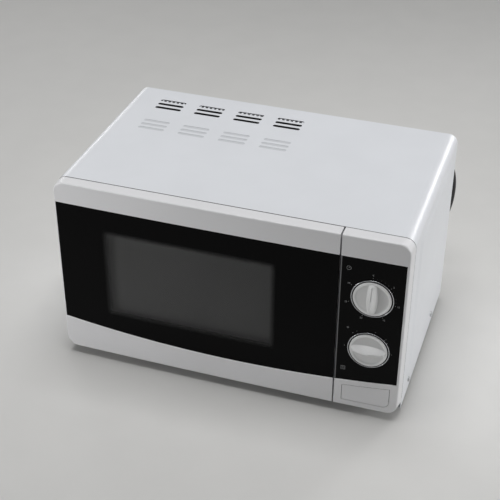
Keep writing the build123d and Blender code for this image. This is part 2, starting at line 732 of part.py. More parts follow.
def latch_spring():
    """Spring between the frame and the foot of the latch bar."""
    low = Z_B + FRONT_WALL + FIT
    high = Z_B + LATCH_Z[0] - BAR_END - FIT
    return Pos(LATCH_AT, latch_spring_y(), low) * coil_spring(PULL_R, high - low, PULL_TURNS)


def latch_board():
    """Moulded bracket behind the front plate: two catches, a web for the switches and the lever."""
    back = Y_S + SHEET
    zs = (Z_B + PIVOT_Z - 4 * PIVOT_R, Z_B + LATCH_Z[1] + 3 * BAR_END)
    web = (LATCH_AT + LATCH_T / 2 + LATCH_SIDE + FIT, LATCH_AT + LATCH_T / 2 + LATCH_SIDE + FIT + BOARD_T)
    body = block((CAV_XR + 2 * SHEET, web[1]), (back, back + BOARD_T), zs)
    body += block(web, (back, back + BOARD_D), zs)
    for low in LATCH_Z:
        z = Z_B + low
        body -= hook_slot(z, (back - 1, back + BOARD_T + 1))
        catch = z - LATCH_H / 2 - LATCH_NOSE - LATCH_LIFT_GAP
        ys = (back, Y_S + LATCH_REACH - LATCH_NOSE - 4 * FIT)
        body += block((CAV_XR + 2 * SHEET, web[1]), (ys[0], ys[0] + 2 * BOARD_T), (catch - BOARD_T, catch))
    return body - rod("X", (Y_S + PIVOT_Y, Z_B + PIVOT_Z), PIVOT_R + RUN_FIT, (web[0] - 1, web[1] + 1))


def web_face():
    """Outer face of the latch board's web."""
    return LATCH_AT + LATCH_T / 2 + LATCH_SIDE + FIT + BOARD_T


def release_lever():
    """Bell crank: a shaft through the web, an arm under the lower hook and an arm at the button."""
    y = Y_S + PIVOT_Y
    z = Z_B + PIVOT_Z
    left = (LATCH_AT - LEVER_T / 2, LATCH_AT + LEVER_T / 2)
    right = around(STEM_AT, LEVER_T)
    body = rod("X", (y, z), PIVOT_R, (left[0], right[1]))
    body += rod("X", (y, z), PIVOT_R + 1.5, left)
    top = Z_B + LATCH_Z[0] - LATCH_H / 2 - LATCH_NOSE - LATCH_LIFT_GAP
    tip = y + LEVER_REACH
    body += block(left, (y, tip), around(z, 2 * PIVOT_R))
    body += block(left, (tip - 2 * FIT - 2, tip), (z, top))
    body += rod("X", (y, z), PIVOT_R + 1.5, right)
    return body + block(right, around(y, 2 * PIVOT_R), (Z_B + STEM_Z - STEM_R, z))


def switch_places():
    """Lower front corners of the three door switches on the web."""
    x = web_face()
    y = Y_S + SHEET + BOARD_D - SWITCH[1] - 2
    zs = [LATCH_Z[0] + LATCH_H, LATCH_Z[1] - 2 * SWITCH[2], LATCH_Z[1] + LATCH_H / 2]
    return [(x, y, Z_B + z) for z in zs]


def interlock_switches():
    """Three door switches, each with two terminals and a plunger."""
    group = []
    for x, y, z in switch_places():
        body = block((x, x + SWITCH[0]), (y, y + SWITCH[1]), (z, z + SWITCH[2]))
        for place in (0.3, 0.7):
            tag = z + place * SWITCH[2]
            body += block(around(x + SWITCH[0] / 2, 4), (y + SWITCH[1], y + SWITCH[1] + 6), around(tag, 0.8))
        body += block(around(x + SWITCH[0] / 2, 3), (y - 2, y), around(z + SWITCH[2] / 2, 3))
        group.append(body)
    return Compound(children=group)


# Control panel


def button_shape(grow):
    """Outline of the door button, its upper edge parallel to the dark field."""
    low = Z_B + BUTTON_Z
    right = BUTTON_AT + BUTTON_W
    top = BAND_BOTTOM - BUTTON_DROP
    curve = [(X_L, Z_B + top + BAND_RISE), (0, Z_B + top), (X_R, Z_B + top + BAND_RISE)]
    lid = [ThreePointArc(*curve), Line(curve[2], (X_R, Z_B)), Line((X_R, Z_B), (X_L, Z_B))]
    under = make_face(lid + [Line((X_L, Z_B), curve[0])])
    frame = Pos((BUTTON_AT + right) / 2, low + CASE_H / 2) * Rectangle(BUTTON_W, CASE_H)
    shape = under & frame
    corner = shape.vertices().group_by(Axis.Y)[0].sort_by(Axis.X)
    shape = fillet(corner[-1], BUTTON_R)
    return offset(shape, grow, kind=Kind.INTERSECTION) if grow else shape


def control_panel():
    """White moulding right of the door, with a skirt that enters the wrap."""
    back = Y_S - PANEL_GAP
    keep = block((PANEL_XL, X_R + 1), (Y_F - 1, Y_S + CASE_D), (Z_B - 1, Z_T + 1))
    inset = SHEET + FIT
    body = front_body(back) & keep
    inner = front_slab(SCREEN_SET + FASCIA_T + FRONT_WALL, FRONT_T + FRONT_BULGE)
    hollow = inner & outline((Y_F, Y_S), inset + FRONT_WALL)
    body -= hollow & block((PANEL_XL + FRONT_WALL, X_R), (Y_F, Y_S), (Z_B, Z_T))
    skirt = outline((Y_S - FRONT_WALL, Y_S + EMBOSS_EDGE / 2), inset)
    skirt -= outline((Y_F, Y_S + EMBOSS_EDGE), inset + FRONT_WALL)
    body += skirt & block((PANEL_XL + 4 * FRONT_WALL, X_R), (Y_F, Y_S + CASE_D), (Z_B, Z_T))
    seat = dark_field((PANEL_XL + FASCIA_LIP, X_R - FASCIA_EDGE), (Y_F - 2, Y_S))
    body -= seat & front_slab(-2, SCREEN_SET + FASCIA_T)
    for z in (TIMER_Z, POWER_Z):
        body -= rod("Y", (KNOB_AT, Z_B + z), BOSS_R + 1, (Y_F - 1, Y_S))
    body -= slab_y(button_shape(BUTTON_GAP), (0, 0), (Y_F - 1, GUIDE_Y - GUIDE_T))
    return body + button_guide()


def button_guide():
    """Plate across the panel behind the button, with a bore for the stem."""
    ys = (GUIDE_Y, GUIDE_Y + GUIDE_T)
    zs = (Z_B + SHEET + FIT + 1, Z_B + STEM_Z + 3 * STEM_R)
    plate = block((PANEL_XL + 1, STEM_AT + 3 * STEM_R), ys, zs)
    return plate - rod("Y", (STEM_AT, Z_B + STEM_Z), STEM_R + FIT, (ys[0] - 1, ys[1] + 1))


def control_fascia():
    """Black facing of the panel."""
    xs = (PANEL_XL + FASCIA_LIP + FIT / 2, X_R - FASCIA_EDGE - FIT / 2)
    body = dark_field(xs, (Y_F - 2, Y_S), FIT / 2) & front_slab(SCREEN_SET, SCREEN_SET + FASCIA_T)
    for z in (TIMER_Z, POWER_Z):
        body -= rod("Y", (KNOB_AT, Z_B + z), BOSS_R + 1, (Y_F - 1, Y_S))
    return body


def dial_ring(z):
    """Bright ring round a dial, lying on the facing."""
    ring = Circle(RING_D / 2) - Circle(RING_D / 2 - RING_W)
    return slab_y(ring, (KNOB_AT, Z_B + z), (Y_F - RING_T, Y_S)) & front_slab(SCREEN_SET - RING_T, SCREEN_SET)


def knob(turn):
    """Dial knob at the origin, front towards -Y, its grip turned clockwise from upright."""
    half = KNOB_D / 2
    disc = rod("Y", (0, 0), half, (-KNOB_RIM, -KNOB_GAP))
    disc = fillet(disc.edges().group_by(Axis.Y)[0], 1.0)
    disc -= rod("Y", (0, 0), half - KNOB_LAND, (-KNOB_RIM - 1, KNOB_DISH - KNOB_RIM))
    disc += rod("Y", (0, 0), BOSS_R, (-KNOB_GAP - 1, BOSS_L))
    bulge = (GRIP_W - GRIP_TIP) / 2
    arc_r = ((GRIP_L / 2) ** 2 + bulge ** 2) / (2 * bulge)
    plan = (Pos(arc_r - GRIP_W / 2, 0) * Circle(arc_r)) & (Pos(GRIP_W / 2 - arc_r, 0) * Circle(arc_r))
    plan &= Rectangle(GRIP_W, GRIP_L)
    plan = fillet(plan.vertices(), GRIP_R)
    grip = slab_y(plan, (0, 0), (-GRIP_H, KNOB_DISH - KNOB_RIM))
    drop = GRIP_H - GRIP_END
    crown = ((GRIP_L / 2) ** 2 + drop ** 2) / (2 * drop)
    grip &= rod("X", (crown - GRIP_H, 0), crown, (-GRIP_W, GRIP_W))
    mark = block(around(0, MARK_W), (-GRIP_H - 1, 0), (GRIP_L / 2 - MARK_L - 2, GRIP_L / 2 - 2))
    grip -= mark - rod("X", (crown - GRIP_H, 0), crown - MARK_T, (-GRIP_W, GRIP_W))
    body = disc + grip - rod("Y", (0, 0), SHAFT_R + RUN_FIT, (-KNOB_RIM, BOSS_L + 1))
    return Rot(0, turn, 0) * body


def knob_shaft(z, y_end):
    """Spindle from a control unit into its knob."""
    return rod("Y", (KNOB_AT, Z_B + z), SHAFT_R, (FACE_Y - KNOB_RIM + FIT, y_end))


def control_unit(z, width, depth):
    """Housing of a dial's mechanism behind the panel, with a collar and the spindle bore."""
    at = (KNOB_AT, Z_B + z)
    body = slab_y(RectangleRounded(width, width, 3), at, (UNIT_Y, UNIT_Y + depth))
    for place in (-0.28, 0, 0.28):
        x = KNOB_AT + place * width
        body += block(around(x, 5), (UNIT_Y + depth, UNIT_Y + depth + 7), around(Z_B + z - width / 3, 0.8))
    return body - rod("Y", at, SHAFT_R + RUN_FIT, (UNIT_Y - 1, UNIT_Y + 0.7 * depth))


def timer_unit():
    """Clockwork timer behind the upper dial, with a post for the bell."""
    post = (UNIT_Y + UNIT_T - 1, UNIT_Y + UNIT_T + BELL_H - BELL_T)
    return control_unit(TIMER_Z, UNIT_W, UNIT_T) + rod("Y", (KNOB_AT, Z_B + TIMER_Z + BELL_D / 8), 2.5, post)


def timer_bell():
    """Bell on its post behind the timer."""
    at = (KNOB_AT, Z_B + TIMER_Z + BELL_D / 8)
    back = UNIT_Y + UNIT_T + BELL_H
    cup = rod("Y", at, BELL_D / 2, (back - BELL_H + 2, back))
    cup = fillet(cup.edges().group_by(Axis.Y)[-1], BELL_H / 2)
    cup -= rod("Y", at, BELL_D / 2 - BELL_T, (back - BELL_H, back - BELL_T - BELL_H / 2))
    return cup - rod("Y", at, BELL_D / 3, (back - BELL_H, back - BELL_T))


def power_selector():
    """Rotary power switch behind the lower dial."""
    return control_unit(POWER_Z, SELECTOR_W, SELECTOR_T)


def timer_knob():
    """Upper dial, set to zero."""
    return Pos(KNOB_AT, FACE_Y, Z_B + TIMER_Z) * knob(0)


def power_knob():
    """Lower dial, set to its highest step."""
    return Pos(KNOB_AT, FACE_Y, Z_B + POWER_Z) * knob(90)


def timer_shaft():
    """Spindle of the timer."""
    return knob_shaft(TIMER_Z, UNIT_Y + 0.6 * UNIT_T)


def power_shaft():
    """Spindle of the power switch."""
    return knob_shaft(POWER_Z, UNIT_Y + 0.6 * SELECTOR_T)


def timer_ring():
    """Ring of the upper dial."""
    return dial_ring(TIMER_Z)


def power_ring():
    """Ring of the lower dial."""
    return dial_ring(POWER_Z)


def door_button():
    """Push button flush with the panel: a hollow cap on a round stem with a domed end."""
    cap = slab_y(button_shape(0), (0, 0), (Y_F - 1, Y_S)) & front_slab(0, BUTTON_T)
    hollow = slab_y(button_shape(-BUTTON_WALL), (0, 0), (Y_F, Y_S))
    cap -= hollow & front_slab(BUTTON_WALL, FRONT_T)
    stem = rod("Y", (STEM_AT, Z_B + STEM_Z), STEM_R, (SPRING_Y[0] - FIT - BUTTON_WALL / 2, STEM_END))
    return cap + fillet(stem.edges().group_by(Axis.Y)[-1], 0.9 * STEM_R)


def button_spring():
    """Return spring round the stem."""
    turned = Rot(-90, 0, 0) * coil_spring(SPRING_R, SPRING_Y[1] - SPRING_Y[0], SPRING_TURNS)
    return Pos(STEM_AT, SPRING_Y[0], Z_B + STEM_Z) * turned


# Turntable


def glass_plate():
    """Round glass plate with a raised rim."""
    edge = PLATE_D / 2
    lip = edge - PLATE_RIM * 0.6
    under = [(0, 0), (PLATE_FLAT, 0), (lip, PLATE_RIM - PLATE_T), (edge, PLATE_RIM - PLATE_T / 2)]
    over = [(edge, PLATE_RIM), (lip - 2, PLATE_RIM), (PLATE_FLAT - 2, PLATE_T), (0, PLATE_T)]
    profile = make_face(Polyline(*under, *over, close=True))
    return Pos(TT_X, TT_Y, PLATE_Z) * revolve(Plane.XZ * profile, axis=Axis.Z)


def drive_coupler():
    """Three-armed coupler between the motor shaft and the plate."""
    low = CAV_ZF + COUPLER_LIFT
    body = rod("Z", (TT_X, TT_Y), COUPLER_R, (low, PLATE_Z))
    for index in range(3):
        arm = Pos(COUPLER_ARM / 2, 0, 0) * Box(COUPLER_ARM, COUPLER_R, 4)
        body += Pos(TT_X, TT_Y, PLATE_Z - 2) * Rot(0, 0, 120 * index) * arm
    return body - rod("Z", (TT_X, TT_Y), TT_SHAFT_R + RUN_FIT, (low - 1, PLATE_Z - 4))


def turntable_shaft():
    """Motor spindle through the oven floor."""
    return rod("Z", (TT_X, TT_Y), TT_SHAFT_R, (CAV_ZF - SHEET - 0.6 * MOTOR_H, PLATE_Z - 4 - FIT))


def turntable_motor():
    """Flat geared motor under the oven floor, with two ears."""
    top = CAV_ZF - SHEET
    body = rod("Z", (TT_X, TT_Y), MOTOR_D / 2, (top - MOTOR_H, top))
    body += slab_z(SlotOverall(MOTOR_D + 16, 9), (TT_X, TT_Y), (top - 1.2, top))
    return body - rod("Z", (TT_X, TT_Y), TT_SHAFT_R + RUN_FIT, (top - 0.7 * MOTOR_H, top + 1))


def roller_ring():
    """Ring under the plate with three axles that point outwards."""
    outer = WHEEL_TRACK - WHEEL_T / 2 - 2 * FIT
    ring = Circle(outer) - Circle(outer - RING_BAR)
    body = slab_z(ring, (TT_X, TT_Y), around(WHEEL_Z, RING_H))
    reach = WHEEL_TRACK + WHEEL_T / 2 + 2 * FIT
    for index in range(3):
        axle = rod("X", (0, 0), AXLE_R, (outer - RING_BAR, reach))
        axle += rod("X", (0, 0), AXLE_R + 1.5, (reach, reach + 2))
        boss = rod("X", (0, 0), AXLE_R + 2, (outer - RING_BAR, outer))
        body += Pos(TT_X, TT_Y, WHEEL_Z) * Rot(0, 0, 90 + 120 * index) * (axle + boss)
    return body


def roller_wheel(index):
    """One wheel of the ring, its axis pointing outwards."""
    hoop = rod("X", (0, 0), WHEEL_R, around(WHEEL_TRACK, WHEEL_T))
    hoop = fillet(hoop.edges(), 0.8) - rod("X", (0, 0), AXLE_R + RUN_FIT, around(WHEEL_TRACK, 2 * WHEEL_T))
    return Pos(TT_X, TT_Y, WHEEL_Z) * Rot(0, 0, 90 + 120 * index) * hoop


# Component space


def waveguide():
    """Open-sided steel channel from the magnetron to the oven wall."""
    xs = (CAV_XR + SHEET, GUIDE_X)
    body = block(xs, around(GUIDE_Y0, GUIDE_L), around(GUIDE_Z0, GUIDE_H))
    inner = (xs[0] - 1, xs[1] - SHEET)
    body -= block(inner, around(GUIDE_Y0, GUIDE_L - 2 * SHEET), around(GUIDE_Z0, GUIDE_H - 2 * SHEET))
    hole = rod("X", (GUIDE_Y0, GUIDE_Z0), ANTENNA_R + ANTENNA_GAP, around(GUIDE_X, 4 * SHEET))
    return body - hole


def waveguide_cover():
    """Mica sheet over the aperture, on the oven side."""
    wide = around(GUIDE_Y0, APERTURE[0] + 2 * MICA_EDGE)
    return block((CAV_XR - MICA_T, CAV_XR), wide, around(GUIDE_Z0, APERTURE[1] + 2 * MICA_EDGE))


def magnetron():
    """Steel yoke on the waveguide, with anode, cooling fins and antenna."""
    xs = (GUIDE_X, GUIDE_X + MAG_W)
    body = block(xs, around(GUIDE_Y0, MAG_L), around(GUIDE_Z0, MAG_H))
    inner = (xs[0] + MAG_T, xs[1] - MAG_T)
    body -= block(inner, around(GUIDE_Y0, MAG_L + 2), around(GUIDE_Z0, MAG_H - 2 * MAG_T))
    body += rod("X", (GUIDE_Y0, GUIDE_Z0), ANODE_R, (inner[0] - MAG_T / 2, inner[1] + MAG_T / 2))
    body += rod("X", (GUIDE_Y0, GUIDE_Z0), ANTENNA_R, (GUIDE_X - 0.7 * GUIDE_W, xs[0] + MAG_T / 2))
    space = (MAG_W - 2 * MAG_T) / (FIN_COUNT + 1)
    for index in range(FIN_COUNT):
        x = xs[0] + MAG_T + space * (index + 1)
        body += block(around(x, FIN_T), around(GUIDE_Y0, MAG_L - 4), around(GUIDE_Z0, MAG_H - 1))
    long, wide = HEATER_BOX
    return body + block((xs[1] - MAG_T / 2, xs[1] + long), around(GUIDE_Y0, wide), around(GUIDE_Z0, wide))


def core_spans():
    """Spans of the transformer core, standing on the floor of the case."""
    return around(CORE_AT, CORE[0]), around(Y_S + CORE_Y, CORE[1]), (Z_B + SHEET, Z_B + SHEET + CORE[2])


def transformer_core():
    """Laminated core with two windows, and its foot plate."""
    xs, ys, zs = core_spans()
    body = block(xs, ys, zs)
    body += block(xs_grow(xs, CORE_FOOT[0]), around(Y_S + CORE_Y, CORE[1] * 0.7), (zs[0], zs[0] + CORE_FOOT[1]))
    for side in (-1, 1):
        slot = around(Y_S + CORE_Y + side * CORE[1] * 0.23, CORE[1] * 0.2)
        body -= block(xs_grow(xs, 12), slot, core_window(zs))
    return body


def xs_grow(span, amount):
    """Span made longer at both ends."""
    return (span[0] - amount, span[1] + amount)


def core_window(zs):
    """Height of the core's windows."""
    return (zs[0] + CORE_YOKE, zs[1] - CORE_YOKE)


def transformer_coils():
    """Two windings round the middle limb, one above the other."""
    xs, _, zs = core_spans()
    low, high = core_window(zs)
    mid = (low + high) / 2
    gap = FIT
    limb = CORE[1] * 0.26
    slot = CORE[1] * 0.2
    group = []
    for span in ((low + gap, mid - gap), (mid + gap, high - gap)):
        ring = block(xs_grow(xs, COIL_OUT), around(Y_S + CORE_Y, limb + 2 * slot - 2 * gap), span)
        ring -= block(xs_grow(xs, gap), around(Y_S + CORE_Y, limb + 2 * gap), span)
        group.append(ring)
    return Compound(children=group)


def cap_axis():
    """Height of the capacitor's axis."""
    return Z_B + SHEET + CAP_D / 2


def capacitor():
    """High-voltage capacitor lying on the floor of the case, with two terminals."""
    at = (Y_S + CAP_Y, cap_axis())
    body = rod("X", at, CAP_D / 2, around(CORE_AT, CAP_L))
    end = CORE_AT - CAP_L / 2
    for y in (-9, 9):
        body += block((end - 9, end + 1), around(at[0] + y, 6), around(at[1], 1))
    return body


def fan_centre():
    """Axis of the fan."""
    return (FAN_AT, Z_B + FAN_Z)


def fan_housing():
    """Moulded frame on the rear panel with a round bore and a cross that carries the motor."""
    at = fan_centre()
    body = slab_y(RectangleRounded(FAN_HOUSE, FAN_HOUSE, 6), at, (FAN_Y, PANEL_Y))
    body -= rod("Y", at, FAN_BORE / 2, (FAN_Y - 1, PANEL_Y + 1))
    arms = block(around(at[0], FAN_HOUSE - 4), (FAN_Y, FAN_Y + 3), around(at[1], SPIDER_W))
    arms += block(around(at[0], SPIDER_W), (FAN_Y, FAN_Y + 3), around(at[1], FAN_HOUSE - 4))
    arms += rod("Y", at, FAN_HUB / 2, (FAN_Y, FAN_Y + 3))
    return body + arms - rod("Y", at, SHAFT_R + 1, (FAN_Y - 1, FAN_Y + 4))


def fan_motor():
    """Shaded-pole motor on the cross: a laminated frame with a winding at its foot."""
    at = fan_centre()
    ys = (FAN_Y - FAN_MOTOR[1], FAN_Y)
    body = block(around(at[0], FAN_MOTOR[0]), (ys[0] + 6, ys[1] - 4), around(at[1], FAN_MOTOR[2]))
    body += block(around(at[0], 30), ys, around(at[1] - FAN_MOTOR[2] / 3, 15))
    body += rod("Y", at, FAN_HUB / 2, ys)
    return body - rod("Y", at, SHAFT_R + RUN_FIT, (ys[0] + 3, ys[1] + 1))


def fan_blade():
    """Fan wheel with twisted blades and its spindle."""
    at = fan_centre()
    front = FAN_Y + 5
    back = PANEL_Y - 4
    hub = rod("Y", at, FAN_HUB / 2, (front, back))
    tip = FAN_BORE / 2 - FAN_TIP_GAP
    reach = around((tip + FAN_HUB / 2 - 2) / 2, tip - FAN_HUB / 2 + 2)
    body = hub + rod("Y", at, SHAFT_R, (FAN_Y - FAN_MOTOR[1] + 4, back - 2))
    for index in range(FAN_BLADES):
        blade = Rot(32, 0, 0) * block(reach, around(0, 1.6), around(0, 22))
        body += Pos(at[0], (front + back) / 2, at[1]) * Rot(0, index * 360 / FAN_BLADES, 0) * blade
    return body & rod("Y", at, tip, (FAN_Y - FAN_MOTOR[1], back))


def lamp_spans():
    """Spans of the lamp holder against the oven wall."""
    xs = (CAV_XR + SHEET, CAV_XR + SHEET + LAMP_SIZE[0])
    ys = (Y_S + LAMP_Y, Y_S + LAMP_Y + LAMP_SIZE[1])
    return xs, ys, around(Z_T - LAMP_Z, LAMP_SIZE[2])


def lamp_holder():
    """Steel cup for the lamp on the oven wall."""
    xs, ys, zs = lamp_spans()
    body = block(xs, ys, zs)
    inner = [(a + SHEET, b - SHEET) for a, b in (ys, zs)]
    return body - block((xs[0] - 1, xs[1] - SHEET), inner[0], inner[1])


def lamp_bulb():
    """Small lamp seated in the cup."""
    xs, ys, _ = lamp_spans()
    y = (ys[0] + ys[1]) / 2
    z = Z_T - LAMP_Z
    socket = rod("Y", (xs[0] + LAMP_SIZE[0] / 2, z), BULB_R * 0.8, (y, ys[1] - SHEET))
    return socket + Pos(xs[0] + LAMP_SIZE[0] / 2, y, z) * Sphere(BULB_R)


def board_plate():
    """Depth span of the filter board."""
    return (PANEL_Y - BOARD_STAND - PCB_T, PANEL_Y - BOARD_STAND)


def filter_board():
    """Mains filter board on four stand-offs, with its choke, capacitor and fuse."""
    at = (BOARD_AT, Z_T - BOARD_Z)
    body = slab_y(Rectangle(*BOARD_SIZE), at, board_plate())
    for x in (-0.43, 0.43):
        for z in (-0.4, 0.4):
            spot = (at[0] + x * BOARD_SIZE[0], at[1] + z * BOARD_SIZE[1])
            body += rod("Y", spot, POST_R, (PANEL_Y - BOARD_STAND - PCB_T / 2, PANEL_Y))
    front = board_plate()[0]
    seat = front + PCB_T / 2
    right = at[0] + PART_X
    body += rod("Y", (at[0] - PART_X, at[1]), TOROID[0], (front - TOROID[1], seat))
    body += block(around(right, CAP_BOX[0]), (front - CAP_BOX[1], seat), around(at[1] + CAP_UP, CAP_BOX[2]))
    fuse = around(at[1] - FUSE_DOWN, FUSE_BOX[2])
    return body + block(around(right, FUSE_BOX[0]), (front - FUSE_BOX[1], seat), fuse)


# Mains lead


def cord_gland():
    """Tapered strain relief in the rear panel."""
    at = (CORD_AT, Z_B + CORD_Z)
    body = rod("Y", at, GLAND_R - 2, (PANEL_Y - 4, Y_R))
    body += rod("Y", at, GLAND_R + 2, (PANEL_Y - 4, PANEL_Y - FIT / 2))
    body += rod("Y", at, GLAND_R + 2, (PANEL_Y + SHEET + FIT / 2, Y_R + 2))
    cone = Cone(GLAND_R, GLAND_TIP, GLAND_L)
    return body + Pos(at[0], Y_R + 2 + GLAND_L / 2, at[1]) * Rot(-90, 0, 0) * cone


def coil_start():
    """Where the lead reaches the coil, and where the coil's first turn begins."""
    y = COIL_Y + COIL_R
    return (COIL_X + 2 * CORD_R, y, CORD_R), (COIL_X, y, CORD_R)


def lead_points():
    """Route of the lead from the gland to the coil."""
    z = Z_B + CORD_Z
    y = Y_R + 2 + GLAND_L
    end_x, end_y, floor = coil_start()[0]
    return [
        (CORD_AT, y, z),
        (CORD_AT, y + 34, z),
        (CORD_AT + 14, y + 64, z - 20),
        (CORD_AT + 22, y + 76, z - 58),
        (CORD_AT + 20, y + 72, z - 100),
        (CORD_AT + 6, y + 74, z - 137),
        (CORD_AT - 20, end_y - 6, floor + 20),
        (CORD_AT - 78, end_y, floor),
        (end_x, end_y, floor),
    ]


def bend_radii(points):
    """Arc radius at each inner point, from the shorter of its two runs."""
    radii = []
    for before, at, after in zip(points, points[1:], points[2:]):
        runs = (dist(before, at), dist(at, after))
        cos_turn = sum((b - a) * (c - b) for a, b, c in zip(before, at, after)) / (runs[0] * runs[1])
        turn = atan2(sqrt(1 - cos_turn ** 2), cos_turn)
        radii.append(0.45 * min(runs) / tan(turn / 2))
    return radii


def tube(path):
    """Round lead along a path."""
    return sweep(Plane(origin=path @ 0, z_dir=path % 0) * Circle(CORD_R), path=path)


def cord_lead():
    """Free length of the lead, from the gland down to the floor."""
    points = lead_points()
    return tube(FilletPolyline(*points, radius=bend_radii(points)))


def half_turns():
    """Radius and rise of each half turn: a spiral inwards, one rising half turn, a spiral outwards."""
    inward = [COIL_R - COIL_STEP / 4 - index * COIL_STEP / 2 for index in range(COIL_HALVES)]
    rise = [(inward[-1] - COIL_STEP / 2, COIL_RISE)]
    return [(radius, 0) for radius in inward] + rise + [(radius, 0) for radius in reversed(inward)]


def coil_path():
    """Path of the coil, and the place where its last turn ends."""
    begin, at = coil_start()
    edges = [Line(begin, at)]
    for index, (radius, rise) in enumerate(half_turns()):
        side = 1 if index % 2 == 0 else -1
        x, y, z = at
        mid = (x - side * sqrt(radius ** 2 + rise ** 2 / 4), y - side * radius, z + rise / 2)
        at = (x, y - 2 * side * radius, z + rise)
        edges.append(ThreePointArc((x, y, z), mid, at))
    return Wire(edges + [Line(at, (at[0] + TAIL_L, at[1], at[2]))]), at


def cord_coil():
    """Spare length of the lead, wound flat on the floor behind the case."""
    return tube(coil_path()[0])


def self_gap():
    """Least gap between turns of the coil."""
    path = coil_path()[0]
    count = 900
    spots = [tuple(path @ (index / count)) for index in range(count + 1)]
    apart = int(3 * CORD_R * count / path.length)
    near = min(dist(a, b) for i, a in enumerate(spots) for b in spots[i + apart:])
    return near - 2 * CORD_R


def cord_tie():
    """Clip over the bundle of turns, on the side away from the plug."""
    high = 2 * CORD_R + COIL_RISE + FIT
    room = CORD_R + 3 * FIT
    outer, inner = half_turns()[0][0] + room, half_turns()[COIL_HALVES - 1][0] - room
    at = (COIL_X - (outer + inner) / 2, COIL_Y - COIL_STEP / 4)
    wide = outer - inner
    band = block(around(at[0], wide + 2 * TIE_T), around(at[1], TIE_W), (0, high + TIE_T))
    return band - block(around(at[0], wide), around(at[1], 2 * TIE_W), (-1, high))


def plug_start():
    """Where the lead enters the plug."""
    end = coil_path()[1]
    return (end[0] + TAIL_L, end[1], end[2])


def plug_body():
    """Slim moulded plug lying on the floor, with a tapered neck."""
    x, y, z = plug_start()
    neck = Pos(x + PLUG_NECK / 2, y, z) * Rot(0, 90, 0) * Cone(GLAND_TIP, 2 * GLAND_TIP, PLUG_NECK)
    head = slab_x(RectangleRounded(PLUG_W, 2 * z, 0.8 * z), (y, z), (x + PLUG_NECK, x + PLUG_NECK + PLUG_L))
    head = fillet(head.faces().sort_by(Axis.X)[0].edges() + head.faces().sort_by(Axis.X)[-1].edges(), 2.5)
    for side in (-1, 1):
        at = (y + side * PIN_PITCH / 2, z)
        head -= rod("X", at, PIN_DIA / 2, (x + PLUG_NECK + PLUG_L / 2, x + PLUG_NECK + PLUG_L + 1))
    return neck + head


def plug_pins():
    """Two round pins set in the plug."""
    x, y, z = plug_start()
    face = x + PLUG_NECK + PLUG_L
    group = []
    for side in (-1, 1):
        pin = rod("X", (y + side * PIN_PITCH / 2, z), PIN_DIA / 2, (face - PLUG_L / 2, face + PIN_OUT))
        group.append(fillet(pin.edges().group_by(Axis.X)[-1], PIN_DIA / 4))
    return Compound(children=group)


PARTS = [
    cabinet, cabinet_screws, base_plate, feet, rear_panel, front_plate, cavity,
    door_frame, door_screen, door_choke, door_mesh, door_cover, door_film, upper_hinge, lower_hinge,
    door_latch, latch_spring, latch_board, release_lever, interlock_switches,
    control_panel, control_fascia, timer_ring, power_ring, timer_knob, power_knob, timer_shaft, power_shaft,
    timer_unit, timer_bell, power_selector, door_button, button_spring,
    glass_plate, drive_coupler, turntable_shaft, turntable_motor, roller_ring,
    waveguide, waveguide_cover, magnetron, transformer_core, transformer_coils,
    capacitor, fan_housing, fan_motor, fan_blade, lamp_holder, lamp_bulb, filter_board,
    cord_gland, cord_lead, cord_coil, cord_tie, plug_body, plug_pins,
]


def main():
    """Write one STEP file for each node."""
    os.makedirs("parts", exist_ok=True)
    nodes = {make.__name__: make for make in PARTS}
    for index in range(3):
        nodes[f"roller_wheel_{index + 1}"] = lambda place=index: roller_wheel(place)
    for name, make in nodes.items():
        export_step(make(), f"parts/{name}.step")
    print(len(nodes), "nodes")
    print("lead radii", [round(radius, 1) for radius in bend_radii(lead_points())])
    print("coil self gap", round(self_gap(), 2), "lead length", round(coil_path()[0].length))


if __name__ == "__main__":
    main()
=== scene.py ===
import logging
import math
from dataclasses import dataclass, field
from enum import Enum
from typing import Optional, Sequence, Union

import bmesh
import bpy
from mathutils import Matrix, Vector


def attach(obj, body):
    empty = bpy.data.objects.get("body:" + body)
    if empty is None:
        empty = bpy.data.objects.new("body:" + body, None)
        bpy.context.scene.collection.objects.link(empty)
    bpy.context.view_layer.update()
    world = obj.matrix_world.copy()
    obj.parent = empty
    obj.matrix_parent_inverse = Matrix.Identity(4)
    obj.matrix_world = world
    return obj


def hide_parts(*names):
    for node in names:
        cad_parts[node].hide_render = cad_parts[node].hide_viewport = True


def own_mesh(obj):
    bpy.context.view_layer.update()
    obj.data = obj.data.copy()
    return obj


# Looks of a compact free-standing microwave oven, in metres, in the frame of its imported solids.
# +Z is up, the door faces -Y, and the origin is on the floor under the middle of the case.

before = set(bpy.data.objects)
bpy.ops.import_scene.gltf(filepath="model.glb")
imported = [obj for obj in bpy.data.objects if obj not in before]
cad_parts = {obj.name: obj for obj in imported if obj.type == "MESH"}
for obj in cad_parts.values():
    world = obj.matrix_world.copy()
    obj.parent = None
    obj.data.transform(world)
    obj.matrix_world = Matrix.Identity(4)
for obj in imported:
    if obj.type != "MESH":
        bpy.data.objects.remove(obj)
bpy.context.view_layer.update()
LOG = logging.getLogger("oven")
MM = 0.001

# Foremost line of the curved front, and how the sharp edges of solids are rounded.
FRONT = -133.755 * MM
WELD_GAP = 0.002 * MM
EDGE_ANGLE = math.radians(35.0)
EDGE_STEPS = 2

# Places of a Mix node's share, two colours and mixed colour among its sockets.
MIX_SHARE, MIX_FIRST, MIX_SECOND, MIX_RESULT = 0, 6, 7, 2

Colour = tuple[float, float, float]
Point = tuple[float, float, float]
Spot = tuple[float, float]
Span = tuple[float, float]
Operand = Union["Signal", float, int]
Tone = Union[Colour, bpy.types.NodeSocket]
Sockets = dict[Union[str, int], object]


